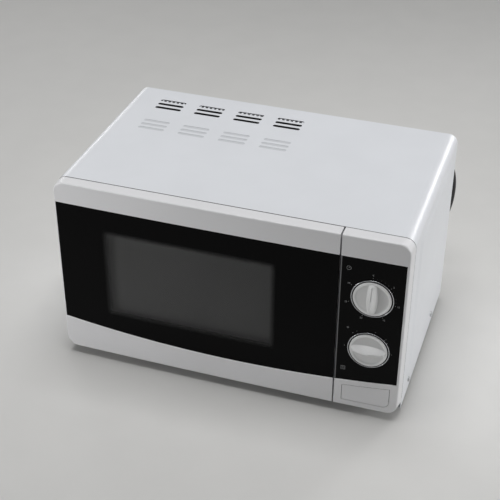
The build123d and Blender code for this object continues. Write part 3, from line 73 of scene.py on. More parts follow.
class Body(Enum):
    """Moving groups of the oven that new pieces ride on."""

    OVEN = "oven"
    DOOR = "door"
    TIMER = "timer_dial"
    POWER = "power_dial"


class Slot(Enum):
    """Material slots that new pieces take their finish from."""

    FRONT_WHITE = "front_white"
    RUBBER = "rubber_black"
    SPRING = "spring_steel"


class Signal:
    """One shader value; arithmetic on it adds Math nodes."""

    def __init__(self, sheet: "ShaderSheet", socket: bpy.types.NodeSocket) -> None:
        """Keep the sheet and the output socket."""
        self.sheet = sheet
        self.socket = socket

    def __add__(self, other: Operand) -> "Signal":
        """Sum with a value on the right."""
        return self.sheet.maths("ADD", self, other)

    def __radd__(self, other: Operand) -> "Signal":
        """Sum with a value on the left."""
        return self.sheet.maths("ADD", other, self)

    def __sub__(self, other: Operand) -> "Signal":
        """Difference with a value on the right."""
        return self.sheet.maths("SUBTRACT", self, other)

    def __rsub__(self, other: Operand) -> "Signal":
        """Difference with a value on the left."""
        return self.sheet.maths("SUBTRACT", other, self)

    def __mul__(self, other: Operand) -> "Signal":
        """Product with a value on the right."""
        return self.sheet.maths("MULTIPLY", self, other)

    def __rmul__(self, other: Operand) -> "Signal":
        """Product with a value on the left."""
        return self.sheet.maths("MULTIPLY", other, self)

    def __truediv__(self, other: Operand) -> "Signal":
        """Quotient with a value on the right."""
        return self.sheet.maths("DIVIDE", self, other)

    def __rtruediv__(self, other: Operand) -> "Signal":
        """Quotient with a value on the left."""
        return self.sheet.maths("DIVIDE", other, self)

    def __lt__(self, other: Operand) -> "Signal":
        """One where this is less than the other."""
        return self.sheet.maths("LESS_THAN", self, other)

    def __gt__(self, other: Operand) -> "Signal":
        """One where this is more than the other."""
        return self.sheet.maths("GREATER_THAN", self, other)

    def __abs__(self) -> "Signal":
        """Size without sign."""
        return self.sheet.maths("ABSOLUTE", self)

    def sine(self) -> "Signal":
        """Sine of an angle in radians."""
        return self.sheet.maths("SINE", self)

    def least(self, other: Operand) -> "Signal":
        """Lesser of two values."""
        return self.sheet.maths("MINIMUM", self, other)

    def root(self) -> "Signal":
        """Square root."""
        return self.sheet.maths("SQRT", self)

    def offset_in_cell(self, pitch: float) -> "Signal":
        """Distance from the middle of the nearest cell of a row, with sign."""
        return (self.sheet.maths("FRACT", self / pitch + 0.5) - 0.5) * pitch

    def within(self, span: Span) -> "Signal":
        """One between two values."""
        return abs(self - (span[0] + span[1]) / 2) < (span[1] - span[0]) / 2

    def step(self, low: float, high: float) -> "Signal":
        """Smooth step.

        Args:
            low: value where the step begins.
            high: value where it ends.

        Returns:
            Zero below low and one above high.
        """
        made = self.sheet.node(
            "ShaderNodeMapRange",
            {"interpolation_type": "SMOOTHSTEP"},
            {"Value": self, "From Min": low, "From Max": high},
        )
        return Signal(self.sheet, made.outputs[0])


class ShaderSheet:
    """Node tree of one material, filled by a finish."""

    def __init__(self, name: str) -> None:
        """Start an empty material.

        Args:
            name: name of the material.
        """
        self.material = bpy.data.materials.new(name)
        self.material.use_nodes = True
        self.tree = self.material.node_tree
        self.tree.nodes.clear()

    def node(self, kind: str, settings: dict[str, str], sockets: Sockets) -> bpy.types.Node:
        """Add a node.

        Args:
            kind: Blender's node type.
            settings: attributes, set before the sockets.
            sockets: values, signals or sockets, by input name or number.

        Returns:
            The node.
        """
        made = self.tree.nodes.new(kind)
        for key, value in settings.items():
            setattr(made, key, value)
        for key, value in sockets.items():
            if isinstance(value, Signal):
                self.tree.links.new(value.socket, made.inputs[key])
            elif isinstance(value, bpy.types.NodeSocket):
                self.tree.links.new(value, made.inputs[key])
            else:
                made.inputs[key].default_value = value
        return made

    def maths(self, operation: str, *operands: Operand) -> Signal:
        """Add one Math node.

        Args:
            operation: Blender's name of the operation.
            operands: values or signals, in the node's order.

        Returns:
            The node's result.
        """
        made = self.node("ShaderNodeMath", {"operation": operation}, dict(enumerate(operands)))
        return Signal(self, made.outputs[0])

    def place(self) -> bpy.types.NodeSocket:
        """Position on the piece at rest."""
        return self.node("ShaderNodeTexCoord", {}, {}).outputs["Object"]

    def axes(self) -> tuple[Signal, Signal, Signal]:
        """Position on the piece at rest, as three values."""
        split = self.node("ShaderNodeSeparateXYZ", {}, {0: self.place()})
        return tuple(Signal(self, socket) for socket in split.outputs)

    def stretched(self, scale: Point) -> bpy.types.NodeSocket:
        """Position multiplied along each axis."""
        sockets = {0: self.place(), 1: scale}
        return self.node("ShaderNodeVectorMath", {"operation": "MULTIPLY"}, sockets).outputs[0]

    def noise(
        self, size: float, detail: float = 2.0, at: Optional[bpy.types.NodeSocket] = None
    ) -> Signal:
        """Soft noise from zero to one.

        Args:
            size: size of a feature.
            detail: octaves.
            at: position, or None for the piece's own.

        Returns:
            The noise.
        """
        sockets = {"Vector": at or self.place(), "Scale": 1 / size, "Detail": detail}
        return Signal(self, self.node("ShaderNodeTexNoise", {}, sockets).outputs[0])

    def cells(self, size: float) -> Signal:
        """Random value of each cell of a broken pattern.

        Args:
            size: size of a cell.

        Returns:
            A value from zero to one, the same all over a cell.
        """
        made = self.node("ShaderNodeTexVoronoi", {}, {"Vector": self.place(), "Scale": 1 / size})
        tone = self.node("ShaderNodeRGBToBW", {}, {0: made.outputs["Color"]})
        return Signal(self, tone.outputs[0])

    def blend(self, share: Operand, first: Tone, second: Tone) -> bpy.types.NodeSocket:
        """Mix two colours.

        Args:
            share: share of the second colour.
            first: colour or socket.
            second: colour or socket.

        Returns:
            The mixed colour.
        """
        sides = [(*c, 1.0) if isinstance(c, tuple) else c for c in (first, second)]
        sockets = {MIX_SHARE: share, MIX_FIRST: sides[0], MIX_SECOND: sides[1]}
        return self.node("ShaderNodeMix", {"data_type": "RGBA"}, sockets).outputs[MIX_RESULT]

    def shaded(self, share: Signal, colour: Colour, tones: Span) -> bpy.types.NodeSocket:
        """Colour between a darker and a lighter form of itself."""
        return self.blend(share, *(tinted(colour, tone) for tone in tones))

    def bump(self, height: Signal, depth: float) -> bpy.types.NodeSocket:
        """Normal of a relief.

        Args:
            height: relief from zero to one.
            depth: depth of the relief.

        Returns:
            The normal.
        """
        sockets = {"Strength": 1.0, "Distance": depth, "Height": height}
        return self.node("ShaderNodeBump", {}, sockets).outputs[0]

    def surface(self, sockets: Sockets) -> bpy.types.Material:
        """Close the sheet with a Principled surface.

        Args:
            sockets: values or links of the surface, by input name.

        Returns:
            The material.
        """
        shader = self.node("ShaderNodeBsdfPrincipled", {}, sockets)
        self.node("ShaderNodeOutputMaterial", {}, {"Surface": shader.outputs[0]})
        return self.material


def tinted(colour: Colour, share: float) -> Colour:
    """Colour made lighter or darker by a share."""
    return tuple(min(1.0, channel * share) for channel in colour)


@dataclass(frozen=True)
class Finish:
    """Plain coated surface: cloudy tone, uneven gloss and a fine grain."""

    name: str
    colour: Colour
    roughness: float
    metallic: float = 0.0
    specular: float = 0.5
    cloud: float = 0.04
    cloud_size: float = 70 * MM
    cloud_detail: float = 3.0
    cloud_span: Span = (0.3, 0.7)
    smudge: float = 0.08
    smudge_size: float = 25 * MM
    smudge_detail: float = 4.0
    grain: float = 0.0
    grain_size: float = 1.0 * MM

    def tone(self, sheet: ShaderSheet) -> Tone:
        """Base colour, a little lighter and darker in soft patches."""
        share = sheet.noise(self.cloud_size, self.cloud_detail).step(*self.cloud_span)
        return sheet.shaded(share, self.colour, (1 - self.cloud, 1 + self.cloud))

    def uneven(self, share: Signal) -> Signal:
        """Roughness that follows a value from zero to one."""
        return self.roughness + (share - 0.5) * self.smudge

    def gloss(self, sheet: ShaderSheet) -> Signal:
        """Roughness, uneven as from wiping."""
        return self.uneven(sheet.noise(self.smudge_size, self.smudge_detail))

    def relief(self, sheet: ShaderSheet) -> Optional[bpy.types.NodeSocket]:
        """Normal of the grain.

        Args:
            sheet: sheet of the material.

        Returns:
            The normal, or None for a surface with no grain.
        """
        if not self.grain:
            return None
        return sheet.bump(sheet.noise(self.grain_size), self.grain)

    def more(self, sheet: ShaderSheet) -> Sockets:
        """Further sockets of the surface."""
        return {}

    def material(self) -> bpy.types.Material:
        """Material of this finish, made once.

        Returns:
            The material.
        """
        made = bpy.data.materials.get(self.name)
        if made:
            return made
        sheet = ShaderSheet(self.name)
        sockets = {
            "Base Color": self.tone(sheet),
            "Roughness": self.gloss(sheet),
            "Metallic": self.metallic,
            "Specular IOR Level": self.specular,
        }
        normal = self.relief(sheet)
        if normal is not None:
            sockets["Normal"] = normal
        sockets.update(self.more(sheet))
        return sheet.surface(sockets)


@dataclass(frozen=True)
class WrapCoat(Finish):
    """Powder coat of the wrap, with painted shade in its blind grooves, on its slot walls and along
    its cut front edge.
    """

    # Painted shade: a dark strip along the cut front edge for the seam, grey groove floors,
    # near-black slot walls.
    front_edge: float = -116.755 * MM
    edge_width: float = 0.8 * MM
    seam_shade: Colour = (0.10, 0.10, 0.105)
    edge_foot: float = 28 * MM
    sunk_z: Span = (256.4 * MM, 257.9 * MM)
    vent_x: Span = (-180 * MM, 30 * MM)
    groove_y: Span = (26 * MM, 56 * MM)
    groove_shade: float = 0.82
    slot_y: Span = (86 * MM, 114 * MM)
    slot_shade: Colour = (0.05, 0.05, 0.055)

    def tone(self, sheet: ShaderSheet) -> Tone:
        """Cloudy tone with painted shade: greyer grooves, near-black slot walls and a dark seam at
        the front edge.

        Args:
            sheet: sheet of the material.

        Returns:
            The colour.
        """
        x, y, z = sheet.axes()
        sunk = x.within(self.vent_x) * z.within(self.sunk_z)
        # Painted shade: greyer floors of the blind grooves, near-black walls of the open slots.
        groove_shade_colour = tinted(self.colour, self.groove_shade)
        coat = sheet.blend(sunk * y.within(self.groove_y), super().tone(sheet), groove_shade_colour)
        coat = sheet.blend(sunk * y.within(self.slot_y), coat, self.slot_shade)
        # Painted shade of the seam: a dark strip along the cut front edge, above the foot of the
        # case.
        edge = (y < self.front_edge + self.edge_width) * (z > self.edge_foot)
        return sheet.blend(edge, coat, self.seam_shade)


@dataclass(frozen=True)
class MaskedMoulding(Finish):
    """White moulding, dark as painted shade where it lies behind a dark sheet."""

    mask_x: Span = (-0.164, 0.068)
    mask_z: Span = (0.070, 0.207)
    shade_tone: Colour = (0.012, 0.012, 0.012)

    def tone(self, sheet: ShaderSheet) -> Tone:
        """Cloudy white with the dark area of painted shade.

        Args:
            sheet: sheet of the material.

        Returns:
            The colour.
        """
        x, _, z = sheet.axes()
        # Painted shade over the masked area.
        share = x.within(self.mask_x) * z.within(self.mask_z)
        return sheet.blend(share, super().tone(sheet), self.shade_tone)


@dataclass(frozen=True)
class DishedMoulding(Finish):
    """White moulding, greyer down in its dish as painted shade."""

    dish_y: Span = (-134.5 * MM, -133.8 * MM)
    dish_shade: float = 0.80

    def tone(self, sheet: ShaderSheet) -> Tone:
        """Cloudy white with painted shade in the dish."""
        share = sheet.axes()[1].step(*self.dish_y)
        return sheet.blend(share, super().tone(sheet), tinted(self.colour, self.dish_shade))


@dataclass(frozen=True)
class GapMoulding(Finish):
    """White moulding of the curved front, dark on its sides down in the gap round it, as painted
    shade.
    """

    bend: float = 12.1
    gap_depth: Span = (0.3 * MM, 0.7 * MM)
    gap_shade: Colour = (0.04, 0.04, 0.042)

    def tone(self, sheet: ShaderSheet) -> Tone:
        """Cloudy white with the sides darkened as painted shade.

        Args:
            sheet: sheet of the material.

        Returns:
            The colour.
        """
        x, y, _ = sheet.axes()
        behind = y - x * x / (2 * self.bend) - FRONT
        return sheet.blend(behind.step(*self.gap_depth), super().tone(sheet), self.gap_shade)


@dataclass(frozen=True)
class SpangledZinc(Finish):
    """Galvanised sheet with crystals of zinc."""

    crystal: float = 7 * MM
    tones: Span = (0.86, 1.12)

    def tone(self, sheet: ShaderSheet) -> Tone:
        """Each crystal a little lighter or darker."""
        return sheet.shaded(sheet.cells(self.crystal), self.colour, self.tones)

    def gloss(self, sheet: ShaderSheet) -> Signal:
        """Each crystal a little rougher or smoother."""
        return self.uneven(sheet.cells(self.crystal))


@dataclass(frozen=True)
class BackSheet(SpangledZinc):
    """Galvanised back; the flange under the slots of the wrap is pale and not metal, as painted
    light where it lies in shade.
    """

    flange_z: float = 253 * MM
    flange_y: float = 138 * MM
    flange_light: Colour = (0.86, 0.88, 0.91)

    def flange(self, sheet: ShaderSheet) -> Signal:
        """One on the flange."""
        _, y, z = sheet.axes()
        return (z > self.flange_z) * (y < self.flange_y)

    def tone(self, sheet: ShaderSheet) -> Tone:
        """Zinc with the flange lightened as painted light."""
        return sheet.blend(self.flange(sheet), super().tone(sheet), self.flange_light)

    def more(self, sheet: ShaderSheet) -> Sockets:
        """Metal all but the flange."""
        return {"Metallic": (1.0 - self.flange(sheet)) * self.metallic}


@dataclass(frozen=True)
class SpeckledEnamel(Finish):
    """Oven paint with fine dark specks."""

    speck: float = 0.9 * MM
    speck_span: Span = (0.66, 0.72)
    speck_share: float = 0.35
    speck_tone: float = 0.45

    def tone(self, sheet: ShaderSheet) -> Tone:
        """Specks over the cloudy tone."""
        share = sheet.noise(self.speck, 1.0).step(*self.speck_span) * self.speck_share
        return sheet.blend(share, super().tone(sheet), tinted(self.colour, self.speck_tone))


@dataclass(frozen=True)
class BoxEnamel(SpeckledEnamel):
    """Oven paint inside a box whose roof is unpainted outside, darkened there as painted shade."""

    roof: float = 234.2 * MM
    roof_shade: Colour = (0.06, 0.06, 0.062)

    def tone(self, sheet: ShaderSheet) -> Tone:
        """Speckled paint under the roof, painted shade on the bare steel above it."""
        return sheet.blend(sheet.axes()[2] > self.roof, super().tone(sheet), self.roof_shade)


@dataclass(frozen=True)
class SmokedScreen(Finish):
    """Gloss black sheet, thinned in a soft-edged window so that the mesh shows through."""

    smoke: Colour = (0.062, 0.062, 0.062)
    window_x: Span = (-0.156, 0.060)
    window_z: Span = (0.078, 0.199)
    fade: float = 6.5 * MM
    clear: float = 0.62

    def window(self, sheet: ShaderSheet) -> Signal:
        """Mask of the window.

        Args:
            sheet: sheet of the material.

        Returns:
            One inside the window, falling softly to zero at its edge.
        """
        x, _, z = sheet.axes()
        masks = []
        for along, (low, high) in ((x, self.window_x), (z, self.window_z)):
            inside = (high - low) / 2 - abs(along - (low + high) / 2)
            masks.append(inside.step(-self.fade / 2, self.fade))
        return masks[0] * masks[1]

    def tone(self, sheet: ShaderSheet) -> Tone:
        """Black, smoky inside the window."""
        return sheet.blend(self.window(sheet), self.colour, self.smoke)

    def more(self, sheet: ShaderSheet) -> Sockets:
        """See-through inside the window."""
        return {"Alpha": 1.0 - self.window(sheet) * self.clear}


@dataclass(frozen=True)
class DrilledSheet(Finish):
    """Thin sheet with close rows of round holes."""

    pitch: float = 1.9 * MM
    hole: float = 0.62 * MM

    def more(self, sheet: ShaderSheet) -> Sockets:
        """Holes on a triangular grid, cut by transparency.

        Args:
            sheet: sheet of the material.

        Returns:
            The socket.
        """
        x, _, z = sheet.axes()
        rise = self.pitch * math.sqrt(3)
        spots = []
        for shift in (0.0, 0.5):
            across = (x + shift * self.pitch).offset_in_cell(self.pitch)
            up = (z + shift * rise).offset_in_cell(rise)
            spots.append((across * across + up * up).root())
        return {"Alpha": 1.0 - (spots[0].least(spots[1]) < self.hole)}


@dataclass(frozen=True)
class Ribbed(Finish):
    """Wound wire or stacked sheets: fine parallel lines along one axis."""

    axis: int = 2
    pitch: float = 0.9 * MM
    tones: Span = (0.6, 1.1)

    def lines(self, sheet: ShaderSheet) -> Signal:
        """Lines from zero to one."""
        along = sheet.axes()[self.axis]
        return (along * (2 * math.pi / self.pitch)).sine() * 0.5 + 0.5

    def tone(self, sheet: ShaderSheet) -> Tone:
        """Darker between the lines."""
        return sheet.shaded(self.lines(sheet), self.colour, self.tones)

    def relief(self, sheet: ShaderSheet) -> Optional[bpy.types.NodeSocket]:
        """Raised lines."""
        return sheet.bump(self.lines(sheet), self.grain)


@dataclass(frozen=True)
class SpunMetal(Finish):
    """Plated or drawn metal with faint lines round an axis or along one."""

    stretch: Point = (400.0, 2000.0, 400.0)

    def gloss(self, sheet: ShaderSheet) -> Signal:
        """Faint lines in the gloss."""
        return self.uneven(sheet.noise(1.0, at=sheet.stretched(self.stretch)))


@dataclass(frozen=True)
class ClearGlass(Finish):
    """Clear glass or plastic."""

    refraction: float = 1.5

    def more(self, sheet: ShaderSheet) -> Sockets:
        """Light passes through."""
        return {"Transmission Weight": 1.0, "IOR": self.refraction}


class Finishes:
    """Every finish of the oven."""

    white: Colour = (0.80, 0.80, 0.815)
    gloss: float = 0.30
    even: dict = {"cloud": 0.012}
    fine: dict = {"grain": 0.004 * MM, "grain_size": 0.7 * MM, **even}
    coarse: dict = {"grain": 0.012 * MM, "grain_size": 1.6 * MM, **even}
    etched: dict = {"grain": 0.03 * MM, "grain_size": 0.8 * MM}
    galvanised: dict = {
        "colour": (0.62, 0.64, 0.66),
        "roughness": 0.40,
        "metallic": 0.75,
        "smudge": 0.16,
    }
    powder = WrapCoat("case_powder_coat", (0.78, 0.797, 0.83), 0.34, **coarse)
    # Button moulding with painted shade on its sides in the gap.
    button = GapMoulding("button_moulding", white, gloss, **fine)
    # Bead along the dark sheet's lower edge, whiter than the moulding as a painted highlight.
    lip = Finish("highlight_lip_moulding", (0.93, 0.93, 0.94), 0.22, **even)
    # Door moulding, dark as painted shade behind the screen's window.
    leaf = MaskedMoulding("door_moulding", white, gloss, **fine)
    panel = MaskedMoulding(
        "panel_moulding",
        white,
        gloss,
        **fine,
        # Painted shade: the panel's left edge by the door gap is greyed.
        mask_x=(0.1380, 0.1404),
        mask_z=(0.0505, 0.2299),
        shade_tone=(0.17, 0.17, 0.175),
    )
    # Dial moulding, greyer down in its dish as painted shade.
    dial = DishedMoulding("dial_moulding", (0.91, 0.915, 0.915), 0.32, **fine)
    screen = SmokedScreen(
        "smoked_screen", (0.0010, 0.0010, 0.0012), 0.06, specular=0.07, smudge=0.04
    )
    facing = Finish(
        "gloss_black_facing", (0.0012, 0.0012, 0.0014), 0.10, specular=0.08, smudge=0.05
    )
    ink = Finish("printed_ink", (0.28, 0.285, 0.29), 0.5, cloud=0.06, cloud_size=2 * MM)
    chrome = SpunMetal("ring_plating", (0.52, 0.53, 0.55), 0.22, metallic=1.0)
    zinc = SpangledZinc("zinc_sheet", **galvanised)
    back = BackSheet("zinc_back", **galvanised)
    plated = SpunMetal("zinc_plated_screw", (0.55, 0.56, 0.57), 0.30, metallic=1.0)
    enamel = BoxEnamel("oven_enamel", (0.60, 0.61, 0.60), 0.42, grain=0.02 * MM, grain_size=2 * MM)
    mesh = DrilledSheet("drilled_screen_sheet", (0.42, 0.42, 0.42), 0.5)
    dark = Finish("dark_moulding", (0.035, 0.035, 0.038), 0.48, **etched)
    choke = Finish("choke_cover_moulding", (0.03, 0.03, 0.032), 0.42, **etched)
    pale = Finish("natural_nylon", (0.66, 0.64, 0.58), 0.46, grain=0.02 * MM, grain_size=0.9 * MM)
    rubber = Finish(
        "black_rubber", (0.022, 0.022, 0.023), 0.58, grain=0.02 * MM, grain_size=0.7 * MM
    )
    sheath = Finish(
        "lead_sheath", (0.018, 0.018, 0.019), 0.42, grain=0.015 * MM, grain_size=0.9 * MM
    )
    film = ClearGlass("clear_film", (0.92, 0.94, 0.95), 0.05, smudge=0.04)
    glass = ClearGlass("plate_glass", (0.90, 0.96, 0.95), 0.03, smudge=0.03)
    bulb = ClearGlass("bulb_glass", (0.97, 0.95, 0.88), 0.03, smudge=0.02)
    mica = SpeckledEnamel("pressed_mica", (0.50, 0.43, 0.33), 0.36, speck=2.2 * MM, cloud=0.15)
    copper = Ribbed("enamelled_winding", (0.42, 0.17, 0.07), 0.34, metallic=0.6, grain=0.25 * MM)
    iron = Ribbed(
        "varnished_laminations", (0.11, 0.105, 0.10), 0.45, metallic=0.3, grain=0.1 * MM, axis=0
    )
    alloy = SpunMetal("plain_aluminium", (0.66, 0.67, 0.68), 0.32, metallic=1.0, smudge=0.14)
    spring = SpunMetal("spring_wire", (0.46, 0.47, 0.49), 0.28, metallic=1.0)
    pins = SpunMetal("nickel_pin", (0.66, 0.65, 0.62), 0.2, metallic=1.0)
    board = Finish("filter_board_lacquer", (0.10, 0.16, 0.06), 0.4, cloud=0.2, cloud_size=8 * MM)


def node(name: str) -> bpy.types.Object:
    """CAD node by name."""
    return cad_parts[name]


def wear(piece: bpy.types.Object, finish: Finish) -> None:
    """Give a piece one finish.

    Args:
        piece: the piece.
        finish: its finish.
    """
    piece.data.materials.clear()
    piece.data.materials.append(finish.material())
    LOG.info("%s: %s", piece.name, finish.name)


def dress(finish: Finish, *names: str) -> None:
    """Give CAD nodes one finish.

    Args:
        finish: the finish.
        names: the nodes.
    """
    for name in names:
        wear(node(name), finish)


def soften(width: float, *names: str) -> None:
    """Round the sharp edges of CAD nodes a little.

    Args:
        width: width of the rounding.
        names: the nodes.
    """
    for name in names:
        piece = node(name)
        weld = piece.modifiers.new("join", "WELD")
        weld.merge_threshold = WELD_GAP
        edge = piece.modifiers.new("edge", "BEVEL")
        edge.width = width
        edge.segments = EDGE_STEPS
        edge.limit_method = "ANGLE"
        edge.angle_limit = EDGE_ANGLE
        edge.use_clamp_overlap = True
        edge.miter_outer = "MITER_ARC"
        shade = piece.modifiers.new("shade", "WEIGHTED_NORMAL")
        shade.keep_sharp = False


def make_piece(
    name: str, mesh: bpy.types.Mesh, finish: Finish, body: Body
) -> bpy.types.Object:
    """Put a new mesh into the scene on one body.

    Args:
        name: name of the piece.
        mesh: its mesh, in the frame of the solids.
        finish: its finish.
        body: body that it rides on.

    Returns:
        The piece.
    """
    piece = bpy.data.objects.new(name, mesh)
    bpy.context.scene.collection.objects.link(piece)
    wear(piece, finish)
    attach(piece, body.value)
    return piece


@dataclass(frozen=True)
class Lamp:
    """Square soft lamp: its place, aim, width, watts and the angle that it fills, in degrees."""

    name: str
    at: Point
    aim: Point
    size: float
    power: float
    spread: float = 180.0


@dataclass
class Studio:
    """Camera, floor and light."""

    eye: Point = (0.3851, -1.2022, 0.9658)
    aim: Point = (-0.0079, -0.01675, 0.13192)
    lens: float = 84.22
    sensor: float = 36.0
    roll: float = math.radians(0.30)
    clip: Span = (0.02, 60.0)
    floor_size: float = 9.0
    paper: Finish = Finish("floor_paper", (0.69, 0.685, 0.67), 0.75, specular=0.2, cloud=0.01)
    sky: float = 0.08
    sky_colour: Colour = (0.97, 0.985, 1.0)
    lamps: tuple[Lamp, ...] = (
        Lamp("lamp_above", (0.0, 0.0, 3.2), (0.0, 0.0, 0.0), 1.8, 65.0),
        Lamp("lamp_right", (1.5, 0.1, 0.42), (0.22, 0.0, 0.16), 0.6, 1.1, 65.0),
        Lamp("lamp_left", (-1.0, -0.8, 0.25), (-0.3, -0.13, 0.2), 0.4, 0.5, 50.0),
        Lamp("lamp_behind", (1.0, 2.0, 1.0), (0.1, 0.0, 0.25), 0.62, 1.25, 60.0),
        Lamp("lamp_far_left", (-1.5, 1.75, 0.7), (-0.2, 0.0, 0.25), 0.6, 0.45, 60.0),
    )

    def place_camera(self) -> None:
        """Set the camera as the photograph's."""
        data = bpy.data.cameras.new("camera")
        data.lens = self.lens
        data.sensor_width = self.sensor
        data.sensor_fit = "HORIZONTAL"
        data.clip_start, data.clip_end = self.clip
        camera = bpy.data.objects.new("camera", data)
        bpy.context.scene.collection.objects.link(camera)
        ahead = (Vector(self.aim) - Vector(self.eye)).normalized()
        level = ahead.cross(Vector((0, 0, 1))).normalized()
        above = level.cross(ahead)
        right = math.cos(self.roll) * level + math.sin(self.roll) * above
        top = math.cos(self.roll) * above - math.sin(self.roll) * level
        turn = Matrix((right, top, -ahead)).transposed().to_4x4()
        camera.matrix_world = Matrix.Translation(self.eye) @ turn
        bpy.context.scene.camera = camera

    def lay_floor(self) -> None:
        """Pale floor under the oven."""
        shape = bmesh.new()
        bmesh.ops.create_grid(shape, x_segments=1, y_segments=1, size=self.floor_size / 2)
        mesh = bpy.data.meshes.new("floor")
        shape.to_mesh(mesh)
        shape.free()
        floor = bpy.data.objects.new("floor", mesh)
        bpy.context.scene.collection.objects.link(floor)
        floor.data.materials.append(self.paper.material())

    def hang(self, lamp: Lamp) -> None:
        """Hang one soft lamp.

        Args:
            lamp: the lamp.
        """
        data = bpy.data.lights.new(lamp.name, "AREA")
        data.shape = "SQUARE"
        data.size = lamp.size
        data.energy = lamp.power
        data.spread = math.radians(lamp.spread)
        hung = bpy.data.objects.new(lamp.name, data)
        bpy.context.scene.collection.objects.link(hung)
        hung.location = lamp.at
        ahead = Vector(lamp.aim) - Vector(lamp.at)
        hung.rotation_euler = ahead.to_track_quat("-Z", "Y").to_euler()

    def light(self) -> None:
        """Plain sky and the lamps."""
        world = bpy.data.worlds.new("studio")
        bpy.context.scene.world = world
        world.use_nodes = True
        backdrop = world.node_tree.nodes["Background"]
        backdrop.inputs["Color"].default_value = (*self.sky_colour, 1.0)
        backdrop.inputs["Strength"].default_value = self.sky
        for lamp in self.lamps:
            self.hang(lamp)

    def build(self) -> None:
        """Set up the whole studio."""
        bpy.context.scene.view_settings.view_transform = "Standard"
        self.place_camera()
        self.lay_floor()
        self.light()


@dataclass
class MainsLead:
    """Round lead with its gland, plug and tie: a free stretch and a put-away coil."""

    diameter: float = 7 * MM
    length: float = 1.195
    route: tuple[Point, ...] = (
        (187.0, 173.245, 186.0),
        (187.0, 207.245, 186.0),
        (201.0, 237.245, 166.0),
        (209.0, 249.245, 128.0),
        (207.0, 245.245, 86.0),
        (193.0, 247.245, 49.0),
        (167.0, 256.245, 23.5),
        (109.0, 262.245, 3.5),
        (69.0, 262.245, 3.5),
    )
    coil_start: Point = (62.0, 262.245, 3.5)
    coil_radius: float = 45.0
    coil_step: float = 8.0
    coil_rise: float = 7.8
    coil_halves: int = 3
    first_step: float = 0.25
    tail: float = 24.0
    points_per_half: int = 12
    roundness: int = 5
    smoothness: int = 8
    edge: float = 0.3 * MM

    def half_turns(self) -> list[tuple[float, float]]:
        """Half turns of the coil: inwards, one rising, outwards.

        Returns:
            Radius and rise of each.
        """
        steps = [self.first_step + index / 2 for index in range(self.coil_halves)]
        inward = [(self.coil_radius - self.coil_step * step, 0.0) for step in steps]
        rising = (inward[-1][0] - self.coil_step / 2, self.coil_rise)
        return inward + [rising] + inward[::-1]

    def coil(self) -> list[Point]:
        """Control points of the coil's turns and of the tail to the plug.

        Returns:
            The points, in millimetres.
        """
        x, y, z = self.coil_start
        points = [self.coil_start]
        for index, (radius, rise) in enumerate(self.half_turns()):
            side = 1 if index % 2 == 0 else -1
            bulge = radius / math.cos(math.pi / self.points_per_half / 2)
            for step in range(self.points_per_half):
                share = (step + 0.5) / self.points_per_half
                turn = math.pi * share
                across = -side * bulge * math.sin(turn)
                along = y - side * radius + side * bulge * math.cos(turn)
                points.append((x + across, along, z + rise * share))
            y -= 2 * side * radius
            z += rise
        return points + [(x, y, z), (x + self.tail / 2, y, z), (x + self.tail, y, z)]

    def build(self) -> bpy.types.Object:
        """Lead as one smooth spline.

        Returns:
            The lead.
        """
        data = bpy.data.curves.new("mains_lead", "CURVE")
        data.dimensions = "3D"
        data.bevel_depth = self.diameter / 2
        data.bevel_resolution = self.roundness
        data.use_fill_caps = True
        spline = data.splines.new("NURBS")
        points = [Vector(p) * MM for p in (*self.route, *self.coil())]
        spline.points.add(len(points) - 1)
        for spot, point in zip(spline.points, points):
            spot.co = (*point, 1.0)
        spline.order_u = 3
        spline.use_endpoint_u = True
        spline.resolution_u = self.smoothness
        lead = bpy.data.objects.new("mains_lead", data)
        bpy.context.scene.collection.objects.link(lead)
        wear(lead, Finishes.sheath)
        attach(lead, Body.OVEN.value)
        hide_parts("cord_lead", "cord_coil")
        return lead

    def dress(self) -> None:
        """Finishes of the pieces on the lead."""
        dress(Finishes.rubber, "cord_gland", "plug_body")
        dress(Finishes.dark, "cord_tie")
        dress(Finishes.pins, "plug_pins")
        soften(self.edge, "cord_gland", "cord_tie")


@dataclass
class Case:
    """Wrap, back, floor, feet and screws."""

    def dress(self) -> None:
        """Finishes."""
        dress(Finishes.powder, "cabinet")
        dress(Finishes.back, "rear_panel")
        dress(Finishes.zinc, "base_plate", "front_plate")
        dress(Finishes.rubber, "feet")
        dress(Finishes.plated, "cabinet_screws")


@dataclass
class Door:
    """Door leaf, its window, hinges, latch and spring."""

    edge: float = 0.5 * MM

    def dress(self) -> None:
        """Finishes and softened edges."""
        dress(Finishes.leaf, "door_frame")
        dress(Finishes.screen, "door_screen")
        dress(Finishes.zinc, "door_choke", "upper_hinge", "lower_hinge")
        dress(Finishes.mesh, "door_mesh")
        dress(Finishes.choke, "door_cover")
        dress(Finishes.film, "door_film")
        dress(Finishes.pale, "door_latch", "release_lever", "latch_board")
        dress(Finishes.dark, "interlock_switches")
        dress(Finishes.spring, "latch_spring")
        soften(self.edge, "door_frame", "door_latch", "door_cover")


@dataclass
class FrontCurve:
    """Gentle forward curve of the whole front."""

    width: float = 0.440
    bulge: float = 2 * MM
    front: float = FRONT
    set_back: float = 0.4 * MM

    def sag(self, x: float) -> float:
        """Set-back of the curve at a place across the width."""
        radius = (self.width ** 2 / 4 + self.bulge ** 2) / (2 * self.bulge)
        return radius - math.sqrt(radius ** 2 - x ** 2)

    def facing(self, x: float) -> float:
        """Front of the dark facing at a place across the width."""
        return self.front + self.set_back + self.sag(x)


def smooth(share: float) -> float:
    """Smooth step of a number."""
    held = min(1.0, max(0.0, share))
    return held * held * (3 - 2 * held)


def evenly(start: float, end: float, count: int) -> list[float]:
    """Places at equal steps after a start, up to an end."""
    return [start + (end - start) * step / count for step in range(1, count + 1)]


def round_turn(sides: int) -> list[float]:
    """Angles of a full turn at equal steps, in radians."""
    return [2 * math.pi * side / sides for side in range(sides)]


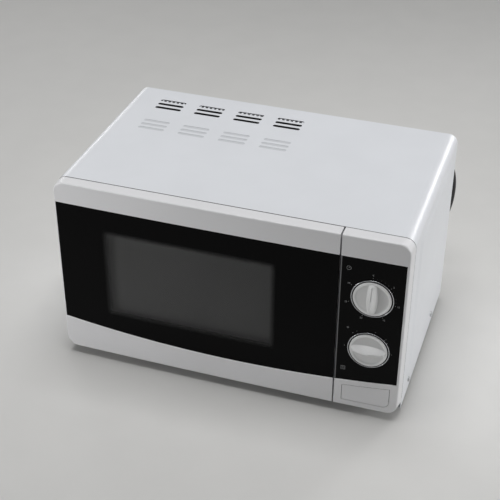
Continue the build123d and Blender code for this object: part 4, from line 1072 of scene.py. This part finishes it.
def join_rings(
    shape: bmesh.types.BMesh, rings: Sequence[Sequence[Point]]
) -> list[list[bmesh.types.BMVert]]:
    """Add a wall through rings of places.

    Args:
        shape: shape that it is added to.
        rings: the places, ring by ring, as many in each.

    Returns:
        The vertices of each ring.
    """
    loops = [[shape.verts.new(place) for place in ring] for ring in rings]
    for inner, outer in zip(loops, loops[1:]):
        for side in range(len(inner)):
            shape.faces.new((inner[side - 1], inner[side], outer[side], outer[side - 1]))
    return loops


def outward_mesh(name: str, shape: bmesh.types.BMesh) -> bpy.types.Mesh:
    """Turn a closed shape into a mesh whose faces look outwards.

    Args:
        name: name of the mesh.
        shape: the shape, which is used up.

    Returns:
        The mesh.
    """
    bmesh.ops.recalc_face_normals(shape, faces=shape.faces)
    mesh = bpy.data.meshes.new(name)
    shape.to_mesh(mesh)
    shape.free()
    return mesh


@dataclass
class DialKnob:
    """White dial with a dished face and a blunt-ended grip that has a line along its crest."""

    name: str
    stands_for: str
    body: Body
    centre: Point
    turn: float
    radius: float = 22.8 * MM
    rim: float = 2.7 * MM
    dish: float = 1.2 * MM
    dish_edge: float = 4.8 * MM
    dish_slope: float = 3.36 * MM
    gap: float = 0.8 * MM
    round_edge: float = 1.0 * MM
    grip_height: float = 11.0 * MM
    grip_end: float = 5.0 * MM
    grip_half_length: float = 20.5 * MM
    grip_half_width: float = 7.0 * MM
    grip_taper: float = 0.33
    end_round: float = 3.0 * MM
    crest_power: float = 1.25
    mark: Span = (1.0 * MM, 18.5 * MM)
    mark_half_width: float = 0.8 * MM
    mark_depth: float = 2.6 * MM
    boss: float = 5.9 * MM
    boss_back: float = 3.0 * MM
    rings_on_grip: int = 36
    rings_outside: int = 36
    spokes: int = 240
    crowding: float = 0.38
    halvings: int = 40
    sharp: float = math.radians(40.0)

    def half_width(self, along: float) -> float:
        """Half the grip's width.

        Args:
            along: distance along the grip from its middle.

        Returns:
            Half the width there, zero past the grip's end.
        """
        reach = abs(along)
        if reach >= self.grip_half_length:
            return 0.0
        wide = self.grip_half_width * (1 - self.grip_taper * (reach / self.grip_half_length) ** 2)
        over = (reach - self.grip_half_length + self.end_round) / self.end_round
        return wide * math.sqrt(1 - over ** 2) if over > 0 else wide

    def face(self, far: float) -> float:
        """Height of the dished face ahead of the facing.

        Args:
            far: distance from the dial's middle.

        Returns:
            The height.
        """
        rise = smooth((far - self.radius + self.dish_edge) / self.dish_slope)
        level = self.rim - self.dish * (1 - rise)
        over = (far - self.radius + self.round_edge) / self.round_edge
        if over > 0:
            level -= self.round_edge * (1 - math.sqrt(max(0.0, 1 - min(over, 1.0) ** 2)))
        return level

    def height(self, across: float, along: float) -> float:
        """Height of the dial's front ahead of the facing.

        Args:
            across: distance from the grip's crest.
            along: distance along the grip, positive towards the pointer.

        Returns:
            The height.
        """
        level = self.face(math.hypot(across, along))
        half = self.half_width(along)
        if abs(across) < half:
            fall = self.grip_height - self.grip_end
            crest = self.grip_height - fall * (along / self.grip_half_length) ** 2
            over = (abs(along) - self.grip_half_length + self.end_round) / self.end_round
            if over > 0:
                crest -= (crest - level) * (1 - math.sqrt(1 - min(over, 1.0) ** 2))
            level += max(0.0, crest - level) * (1 - (abs(across) / half) ** self.crest_power)
        groove = 1 - smooth(abs(across) / self.mark_half_width)
        low, high = self.mark
        ends = [smooth(inside / self.mark_half_width) for inside in (along - low, high - along)]
        return level - self.mark_depth * groove * math.prod(ends)

    def foot(self, angle: float) -> float:
        """Distance from the dial's middle to the foot of the grip.

        Args:
            angle: angle from the grip's crest, in radians.

        Returns:
            The distance.
        """
        low, high = 0.0, self.grip_half_length
        for _ in range(self.halvings):
            middle = (low + high) / 2
            if middle * abs(math.sin(angle)) < self.half_width(middle * math.cos(angle)):
                low = middle
            else:
                high = middle
        return low

    def reaches(self, angle: float) -> list[float]:
        """Distances of the rings along one spoke, one of them on the foot of the grip."""
        foot = self.foot(angle)
        return evenly(0.0, foot, self.rings_on_grip) + evenly(foot, self.radius, self.rings_outside)

    def spot(self, far: float, angle: float, ahead: Optional[float] = None) -> Point:
        """Place on the dial.

        Args:
            far: distance from its middle.
            angle: angle from the grip's crest, in radians.
            ahead: height ahead of the facing, or None for the dial's front.

        Returns:
            The place.
        """
        across, along = far * math.sin(angle), far * math.cos(angle)
        level = self.height(across, along) if ahead is None else ahead
        turn = math.radians(self.turn)
        x, y, z = self.centre
        x += across * math.cos(turn) + along * math.sin(turn)
        z += along * math.cos(turn) - across * math.sin(turn)
        return x, y - level, z

    def build(self) -> bpy.types.Object:
        """Dial as one closed smooth shell.

        Returns:
            The dial.
        """
        steps = round_turn(self.spokes)
        angles = [step - self.crowding * math.sin(2 * step) for step in steps]
        columns = [[self.spot(far, angle) for far in self.reaches(angle)] for angle in angles]
        back = ((self.radius, self.gap), (self.boss, self.gap), (self.boss, -self.boss_back))
        rings = [*zip(*columns)]
        rings += [[self.spot(far, angle, ahead) for angle in angles] for far, ahead in back]
        shape = bmesh.new()
        loops = join_rings(shape, rings)
        top = shape.verts.new(self.spot(0.0, 0.0))
        for side in range(self.spokes):
            shape.faces.new((top, loops[0][side - 1], loops[0][side]))
        shape.faces.new(loops[-1])
        mesh = outward_mesh(self.name, shape)
        mesh.shade_smooth()
        mesh.set_sharp_from_angle(angle=self.sharp)
        piece = make_piece(self.name, mesh, Finishes.dial, self.body)
        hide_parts(self.stands_for)
        return piece


@dataclass
class PrintedMarks:
    """Dial marks printed on the dark facing, thin and curved with it."""

    curve: FrontCurve
    front: float = 0.04 * MM
    back: float = 0.01 * MM
    figure_size: float = 3.3 * MM
    figure_smoothness: int = 3
    dot_sides: int = 16
    ring_sides: int = 30
    shapes: list[bmesh.types.BMesh] = field(default_factory=list)

    def prism(self, outline: Sequence[Spot]) -> None:
        """Add one flat mark, its front at 0 and its back at 1 until it is laid on the facing.

        Args:
            outline: corners in X and Z, in order.
        """
        shape = bmesh.new()
        front = [shape.verts.new((x, 0.0, z)) for x, z in outline]
        back = [shape.verts.new((x, 1.0, z)) for x, z in outline]
        shape.faces.new(front)
        shape.faces.new(list(reversed(back)))
        for index in range(len(outline)):
            after = (index + 1) % len(outline)
            shape.faces.new((front[after], front[index], back[index], back[after]))
        self.shapes.append(shape)

    @staticmethod
    def circle(x: float, z: float, radius: float, sides: int) -> list[Spot]:
        """Places round a middle."""
        turns = round_turn(sides)
        return [(x + radius * math.cos(turn), z + radius * math.sin(turn)) for turn in turns]

    def dot(self, x: float, z: float, radius: float) -> None:
        """Add a round dot."""
        self.prism(self.circle(x, z, radius, self.dot_sides))

    def stroke(self, start: Spot, end: Spot, width: float) -> None:
        """Add a straight line.

        Args:
            start: X and Z of one end.
            end: X and Z of the other end.
            width: width of the line.
        """
        along = Vector((end[0] - start[0], end[1] - start[1])).normalized()
        side = Vector((-along.y, along.x)) * width / 2
        ends = [Vector(start), Vector(end)]
        corners = [ends[0] + side, ends[0] - side, ends[1] - side, ends[1] + side]
        self.prism([tuple(corner) for corner in corners])

    def line(self, spots: Sequence[Spot], width: float) -> None:
        """Add a line through several places."""
        for start, end in zip(spots, spots[1:]):
            self.stroke(start, end, width)

    def ring(self, x: float, z: float, radius: float, width: float) -> None:
        """Add a thin ring."""
        spots = self.circle(x, z, radius, self.ring_sides)
        self.line([*spots, spots[0]], width)

    def figure(self, text: str, x: float, z: float) -> None:
        """Add a number.

        Args:
            text: its digits.
            x: place of its middle across.
            z: height of its middle.
        """
        data = bpy.data.curves.new("figure", "FONT")
        data.body = text
        data.size = self.figure_size
        data.align_x = "CENTER"
        data.align_y = "CENTER"
        data.resolution_u = self.figure_smoothness
        holder = bpy.data.objects.new("figure", data)
        bpy.context.scene.collection.objects.link(holder)
        bpy.context.view_layer.update()
        drawn = holder.evaluated_get(bpy.context.evaluated_depsgraph_get())
        flat = bpy.data.meshes.new_from_object(drawn)
        bpy.data.objects.remove(holder)
        shape = bmesh.new()
        shape.from_mesh(flat)
        bpy.data.meshes.remove(flat)
        made = bmesh.ops.extrude_face_region(shape, geom=shape.faces[:])
        for vert in shape.verts:
            vert.co = (x + vert.co.x, 0.0, z + vert.co.y)
        for item in made["geom"]:
            if isinstance(item, bmesh.types.BMVert):
                item.co.y = 1.0
        self.shapes.append(shape)

    def build(self, name: str) -> bpy.types.Object:
        """Join the marks into one piece on the facing.

        Args:
            name: name of the piece.

        Returns:
            The piece.
        """
        joined = bmesh.new()
        for shape in self.shapes:
            mesh = bpy.data.meshes.new("mark")
            shape.to_mesh(mesh)
            shape.free()
            joined.from_mesh(mesh)
            bpy.data.meshes.remove(mesh)
        self.shapes.clear()
        for vert in joined.verts:
            lift = self.back if vert.co.y > 0.5 else self.front
            vert.co.y = self.curve.facing(vert.co.x) - lift
        mesh = outward_mesh(name, joined)
        return make_piece(name, mesh, Finishes.ink, Body.OVEN)


def ring_about(
    centre: Vector, radius: float, first: Vector, second: Vector, sides: int = 12
) -> list[Vector]:
    """Round ring of places.

    Args:
        centre: its middle.
        radius: its radius.
        first: unit vector in the ring's plane.
        second: unit vector in the plane, square to the first.
        sides: how many places.

    Returns:
        The places, in order.
    """
    turns = round_turn(sides)
    return [centre + radius * (math.cos(turn) * first + math.sin(turn) * second) for turn in turns]


def tube(name: str, rings: Sequence[Sequence[Vector]]) -> bpy.types.Mesh:
    """Smooth tube, closed at both ends.

    Args:
        name: name of the mesh.
        rings: the places that it goes through, ring by ring.

    Returns:
        The mesh.
    """
    shape = bmesh.new()
    loops = join_rings(shape, rings)
    shape.faces.new(loops[0])
    shape.faces.new(loops[-1])
    mesh = outward_mesh(name, shape)
    mesh.shade_smooth()
    return mesh


@dataclass
class SheetLip:
    """Fine bead of the white front along the arched lower edge of a dark sheet, whiter than the
    front as a painted highlight.
    """

    name: str
    body: Body
    span: Span
    curve: FrontCurve = field(default_factory=FrontCurve)
    low: float = 44.5 * MM
    rise: float = 14.3 * MM
    radius: float = 0.85 * MM
    inset_back: float = 0.45 * MM
    inset_down: float = 0.50 * MM
    steps: int = 72

    def middle(self, x: float) -> Vector:
        """Middle of the bead.

        Args:
            x: place across the width.

        Returns:
            The middle there.
        """
        half = self.curve.width / 2
        bend = (half ** 2 + self.rise ** 2) / (2 * self.rise)
        edge = self.low + bend - math.sqrt(bend ** 2 - x ** 2)
        ahead = self.curve.front + self.curve.sag(x)
        return Vector((x, ahead + self.inset_back, edge - self.inset_down))

    def build(self) -> bpy.types.Object:
        """Bead as a tube across the front.

        Returns:
            The bead.
        """
        places = [self.span[0], *evenly(*self.span, self.steps)]
        ahead, above = Vector((0, -1, 0)), Vector((0, 0, 1))
        rings = [ring_about(self.middle(x), self.radius, ahead, above) for x in places]
        mesh = tube(self.name, rings)
        return make_piece(self.name, mesh, Finishes.lip, self.body)


@dataclass
class ButtonSpring:
    """Compression spring round the button's stem, with closed ends."""

    axis_x: float = 158.5 * MM
    axis_z: float = 33.5 * MM
    span: Span = (-130.02 * MM, -119.484 * MM)
    radius: float = 6.0 * MM
    wire: float = 0.4 * MM
    turns: float = 3.0
    closed: float = 0.75
    steps_per_turn: int = 36
    push: float = 6.0 * MM

    def path(self, turn: float) -> Vector:
        """Middle of the wire.

        Args:
            turn: turns from the wire's front end.

        Returns:
            The middle there.
        """
        share = min(1.0, max(0.0, (turn - self.closed) / self.turns))
        low, high = self.span[0] + self.wire, self.span[1] - self.wire
        angle = 2 * math.pi * turn
        across, up = self.radius * math.cos(angle), self.radius * math.sin(angle)
        return Vector((self.axis_x + across, low + (high - low) * share, self.axis_z + up))

    def build(self) -> bpy.types.Object:
        """Spring as a tube along a helix.

        Returns:
            The spring.
        """
        total = self.turns + 2 * self.closed
        count = int(total * self.steps_per_turn)
        rings = []
        for index in range(count + 1):
            centre = self.path(total * index / count)
            outward = (centre - Vector((self.axis_x, centre.y, self.axis_z))).normalized()
            rings.append(ring_about(centre, self.wire, outward, Vector((0, 1, 0))))
        mesh = tube("button_return_spring", rings)
        piece = make_piece("button_return_spring", mesh, Finishes.spring, Body.OVEN)
        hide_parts("button_spring")
        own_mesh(piece)
        return piece


@dataclass
class Pictograms:
    """Clock above the timer and a wave box under the power dial."""

    clock: Spot = (148.6 * MM, 214.7 * MM)
    clock_radius: float = 2.6 * MM
    clock_line: float = 0.45 * MM
    long_hand: float = 1.7 * MM
    short_hand: float = 1.3 * MM
    box: Spot = (148.6 * MM, 69.7 * MM)
    box_half: float = 2.5 * MM
    plain_line: float = 0.4 * MM
    wave_rows: tuple[float, ...] = (-0.9 * MM, 0.9 * MM)
    wave_half: float = 1.7 * MM
    wave_rise: float = 0.45 * MM
    wave_turn: float = 6.4
    wave_line: float = 0.35 * MM
    wave_steps: int = 8

    def draw_clock(self, marks: PrintedMarks) -> None:
        """Add the round face with its two hands.

        Args:
            marks: marks that it joins.
        """
        x, z = self.clock
        marks.ring(x, z, self.clock_radius, self.clock_line)
        marks.stroke(self.clock, (x, z + self.long_hand), self.plain_line)
        marks.stroke(self.clock, (x + self.short_hand, z), self.plain_line)

    def draw_wave_box(self, marks: PrintedMarks) -> None:
        """Add the square with its two waves.

        Args:
            marks: marks that it joins.
        """
        x, z = self.box
        half = self.box_half
        corners = [(-half, -half), (half, -half), (half, half), (-half, half), (-half, -half)]
        marks.line([(x + across, z + up) for across, up in corners], self.plain_line)
        shares = [step / self.wave_steps - 1 for step in range(2 * self.wave_steps + 1)]
        waves = [self.wave_rise * math.sin(self.wave_turn * (share + 1)) for share in shares]
        for row in self.wave_rows:
            spots = [(x + self.wave_half * s, z + row + wave) for s, wave in zip(shares, waves)]
            marks.line(spots, self.wave_line)


@dataclass
class ControlPanel:
    """Panel with its facing, two dials, their scales and the door button."""

    curve: FrontCurve = field(default_factory=FrontCurve)
    dial_x: float = 0.178
    timer_z: float = 0.178
    power_z: float = 0.1035
    timer_rest: float = 0.0
    power_rest: float = 90.0
    dot_radius: float = 28.3 * MM
    figure_radius: float = 31.9 * MM
    scale_shift: float = -0.8 * MM
    dot: float = 0.42 * MM
    fine_dot: float = 0.2 * MM
    minutes: int = 30
    minutes_per_figure: int = 5
    fine_minutes: int = 10
    minute_turn: float = 10.0
    power_stops: tuple[float, ...] = (-90.0, -43.0, -31.0, 15.0, 46.0, 92.0)
    star_angle: float = -43.0
    star_radius: float = 37.5 * MM
    star_reach: float = 1.7 * MM
    star_line: float = 0.3 * MM
    star_spokes: tuple[float, ...] = (30.0, 90.0, 150.0)
    pictograms: Pictograms = field(default_factory=Pictograms)
    door_lip: Span = (-217.0 * MM, 136.5 * MM)
    panel_lip: Span = (141.0 * MM, 210.0 * MM)
    edge: float = 0.4 * MM

    def around(self, z: float, radius: float, angle: float) -> Spot:
        """Place round a dial.

        Args:
            z: height of the dial's middle.
            radius: distance from it.
            angle: degrees clockwise from the top.

        Returns:
            X and Z.
        """
        turn = math.radians(angle)
        return self.dial_x + self.scale_shift + radius * math.sin(turn), z + radius * math.cos(turn)

    def print_timer_scale(self) -> None:
        """Dots and figures of the minutes, with fine dots between the first ones."""
        marks = PrintedMarks(self.curve)
        for minute in range(self.minutes + 1):
            angle = minute * self.minute_turn
            spot = self.around(self.timer_z, self.dot_radius, angle)
            if minute % self.minutes_per_figure == 0:
                marks.dot(*spot, self.dot)
                marks.figure(str(minute), *self.around(self.timer_z, self.figure_radius, angle))
            elif minute < self.fine_minutes:
                marks.dot(*spot, self.fine_dot)
        marks.build("timer_scale")

    def print_power_scale(self) -> None:
        """Stops of the power dial, with a frost star."""
        marks = PrintedMarks(self.curve)
        for angle in self.power_stops:
            marks.dot(*self.around(self.power_z, self.dot_radius, angle), self.dot)
        x, z = self.around(self.power_z, self.star_radius, self.star_angle)
        for spoke in self.star_spokes:
            turn = math.radians(spoke)
            reach = Vector((math.cos(turn), math.sin(turn))) * self.star_reach
            ends = (x - reach.x, z - reach.y), (x + reach.x, z + reach.y)
            marks.stroke(*ends, self.star_line)
        marks.build("power_scale")

    def print_pictograms(self) -> None:
        """Clock and wave box."""
        marks = PrintedMarks(self.curve)
        self.pictograms.draw_clock(marks)
        self.pictograms.draw_wave_box(marks)
        marks.build("panel_pictograms")

    def build(self) -> None:
        """Dials, printed marks, lips and the button's spring."""
        ahead = self.curve.facing(self.dial_x)
        timer = (self.dial_x, ahead, self.timer_z)
        power = (self.dial_x, ahead, self.power_z)
        DialKnob("timer_dial_cap", "timer_knob", Body.TIMER, timer, self.timer_rest).build()
        DialKnob("power_dial_cap", "power_knob", Body.POWER, power, self.power_rest).build()
        self.print_timer_scale()
        self.print_power_scale()
        self.print_pictograms()
        SheetLip("door_sheet_lip", Body.DOOR, self.door_lip).build()
        SheetLip("panel_sheet_lip", Body.OVEN, self.panel_lip).build()
        ButtonSpring().build()

    def dress(self) -> None:
        """Finishes and softened edges."""
        dress(Finishes.panel, "control_panel")
        dress(Finishes.button, "door_button")
        dress(Finishes.facing, "control_fascia")
        dress(Finishes.chrome, "timer_ring", "power_ring")
        dress(Finishes.plated, "timer_shaft", "power_shaft")
        dress(Finishes.pale, "timer_unit", "power_selector")
        dress(Finishes.alloy, "timer_bell")
        soften(self.edge, "control_panel", "door_button", "timer_ring", "power_ring")


@dataclass
class OvenInside:
    """Painted box, turntable and its drive."""

    edge: float = 0.6 * MM

    def dress(self) -> None:
        """Finishes and softened edges."""
        dress(Finishes.enamel, "cavity")
        dress(Finishes.glass, "glass_plate")
        dress(Finishes.pale, "drive_coupler", "roller_ring")
        dress(Finishes.dark, "roller_wheel_1", "roller_wheel_2", "roller_wheel_3")
        dress(Finishes.plated, "turntable_shaft")
        dress(Finishes.zinc, "turntable_motor")
        dress(Finishes.mica, "waveguide_cover")
        soften(self.edge, "drive_coupler", "roller_ring")


@dataclass
class Generator:
    """Microwave generator, fan, lamp and filter in the space behind the panel."""

    def dress(self) -> None:
        """Finishes."""
        dress(Finishes.zinc, "waveguide", "magnetron", "lamp_holder")
        dress(Finishes.iron, "transformer_core", "fan_motor")
        dress(Finishes.copper, "transformer_coils")
        dress(Finishes.alloy, "capacitor")
        dress(Finishes.dark, "fan_housing", "fan_blade")
        dress(Finishes.bulb, "lamp_bulb")
        dress(Finishes.board, "filter_board")


def main() -> None:
    """Build the studio and the oven, piece by piece."""
    logging.basicConfig(level=logging.INFO, format="%(message)s")
    Studio().build()
    lead = MainsLead()
    lead.build()
    lead.dress()
    panel = ControlPanel()
    panel.build()
    for assembly in (Case(), Door(), panel, OvenInside(), Generator()):
        assembly.dress()


if __name__ == "__main__":
    main()
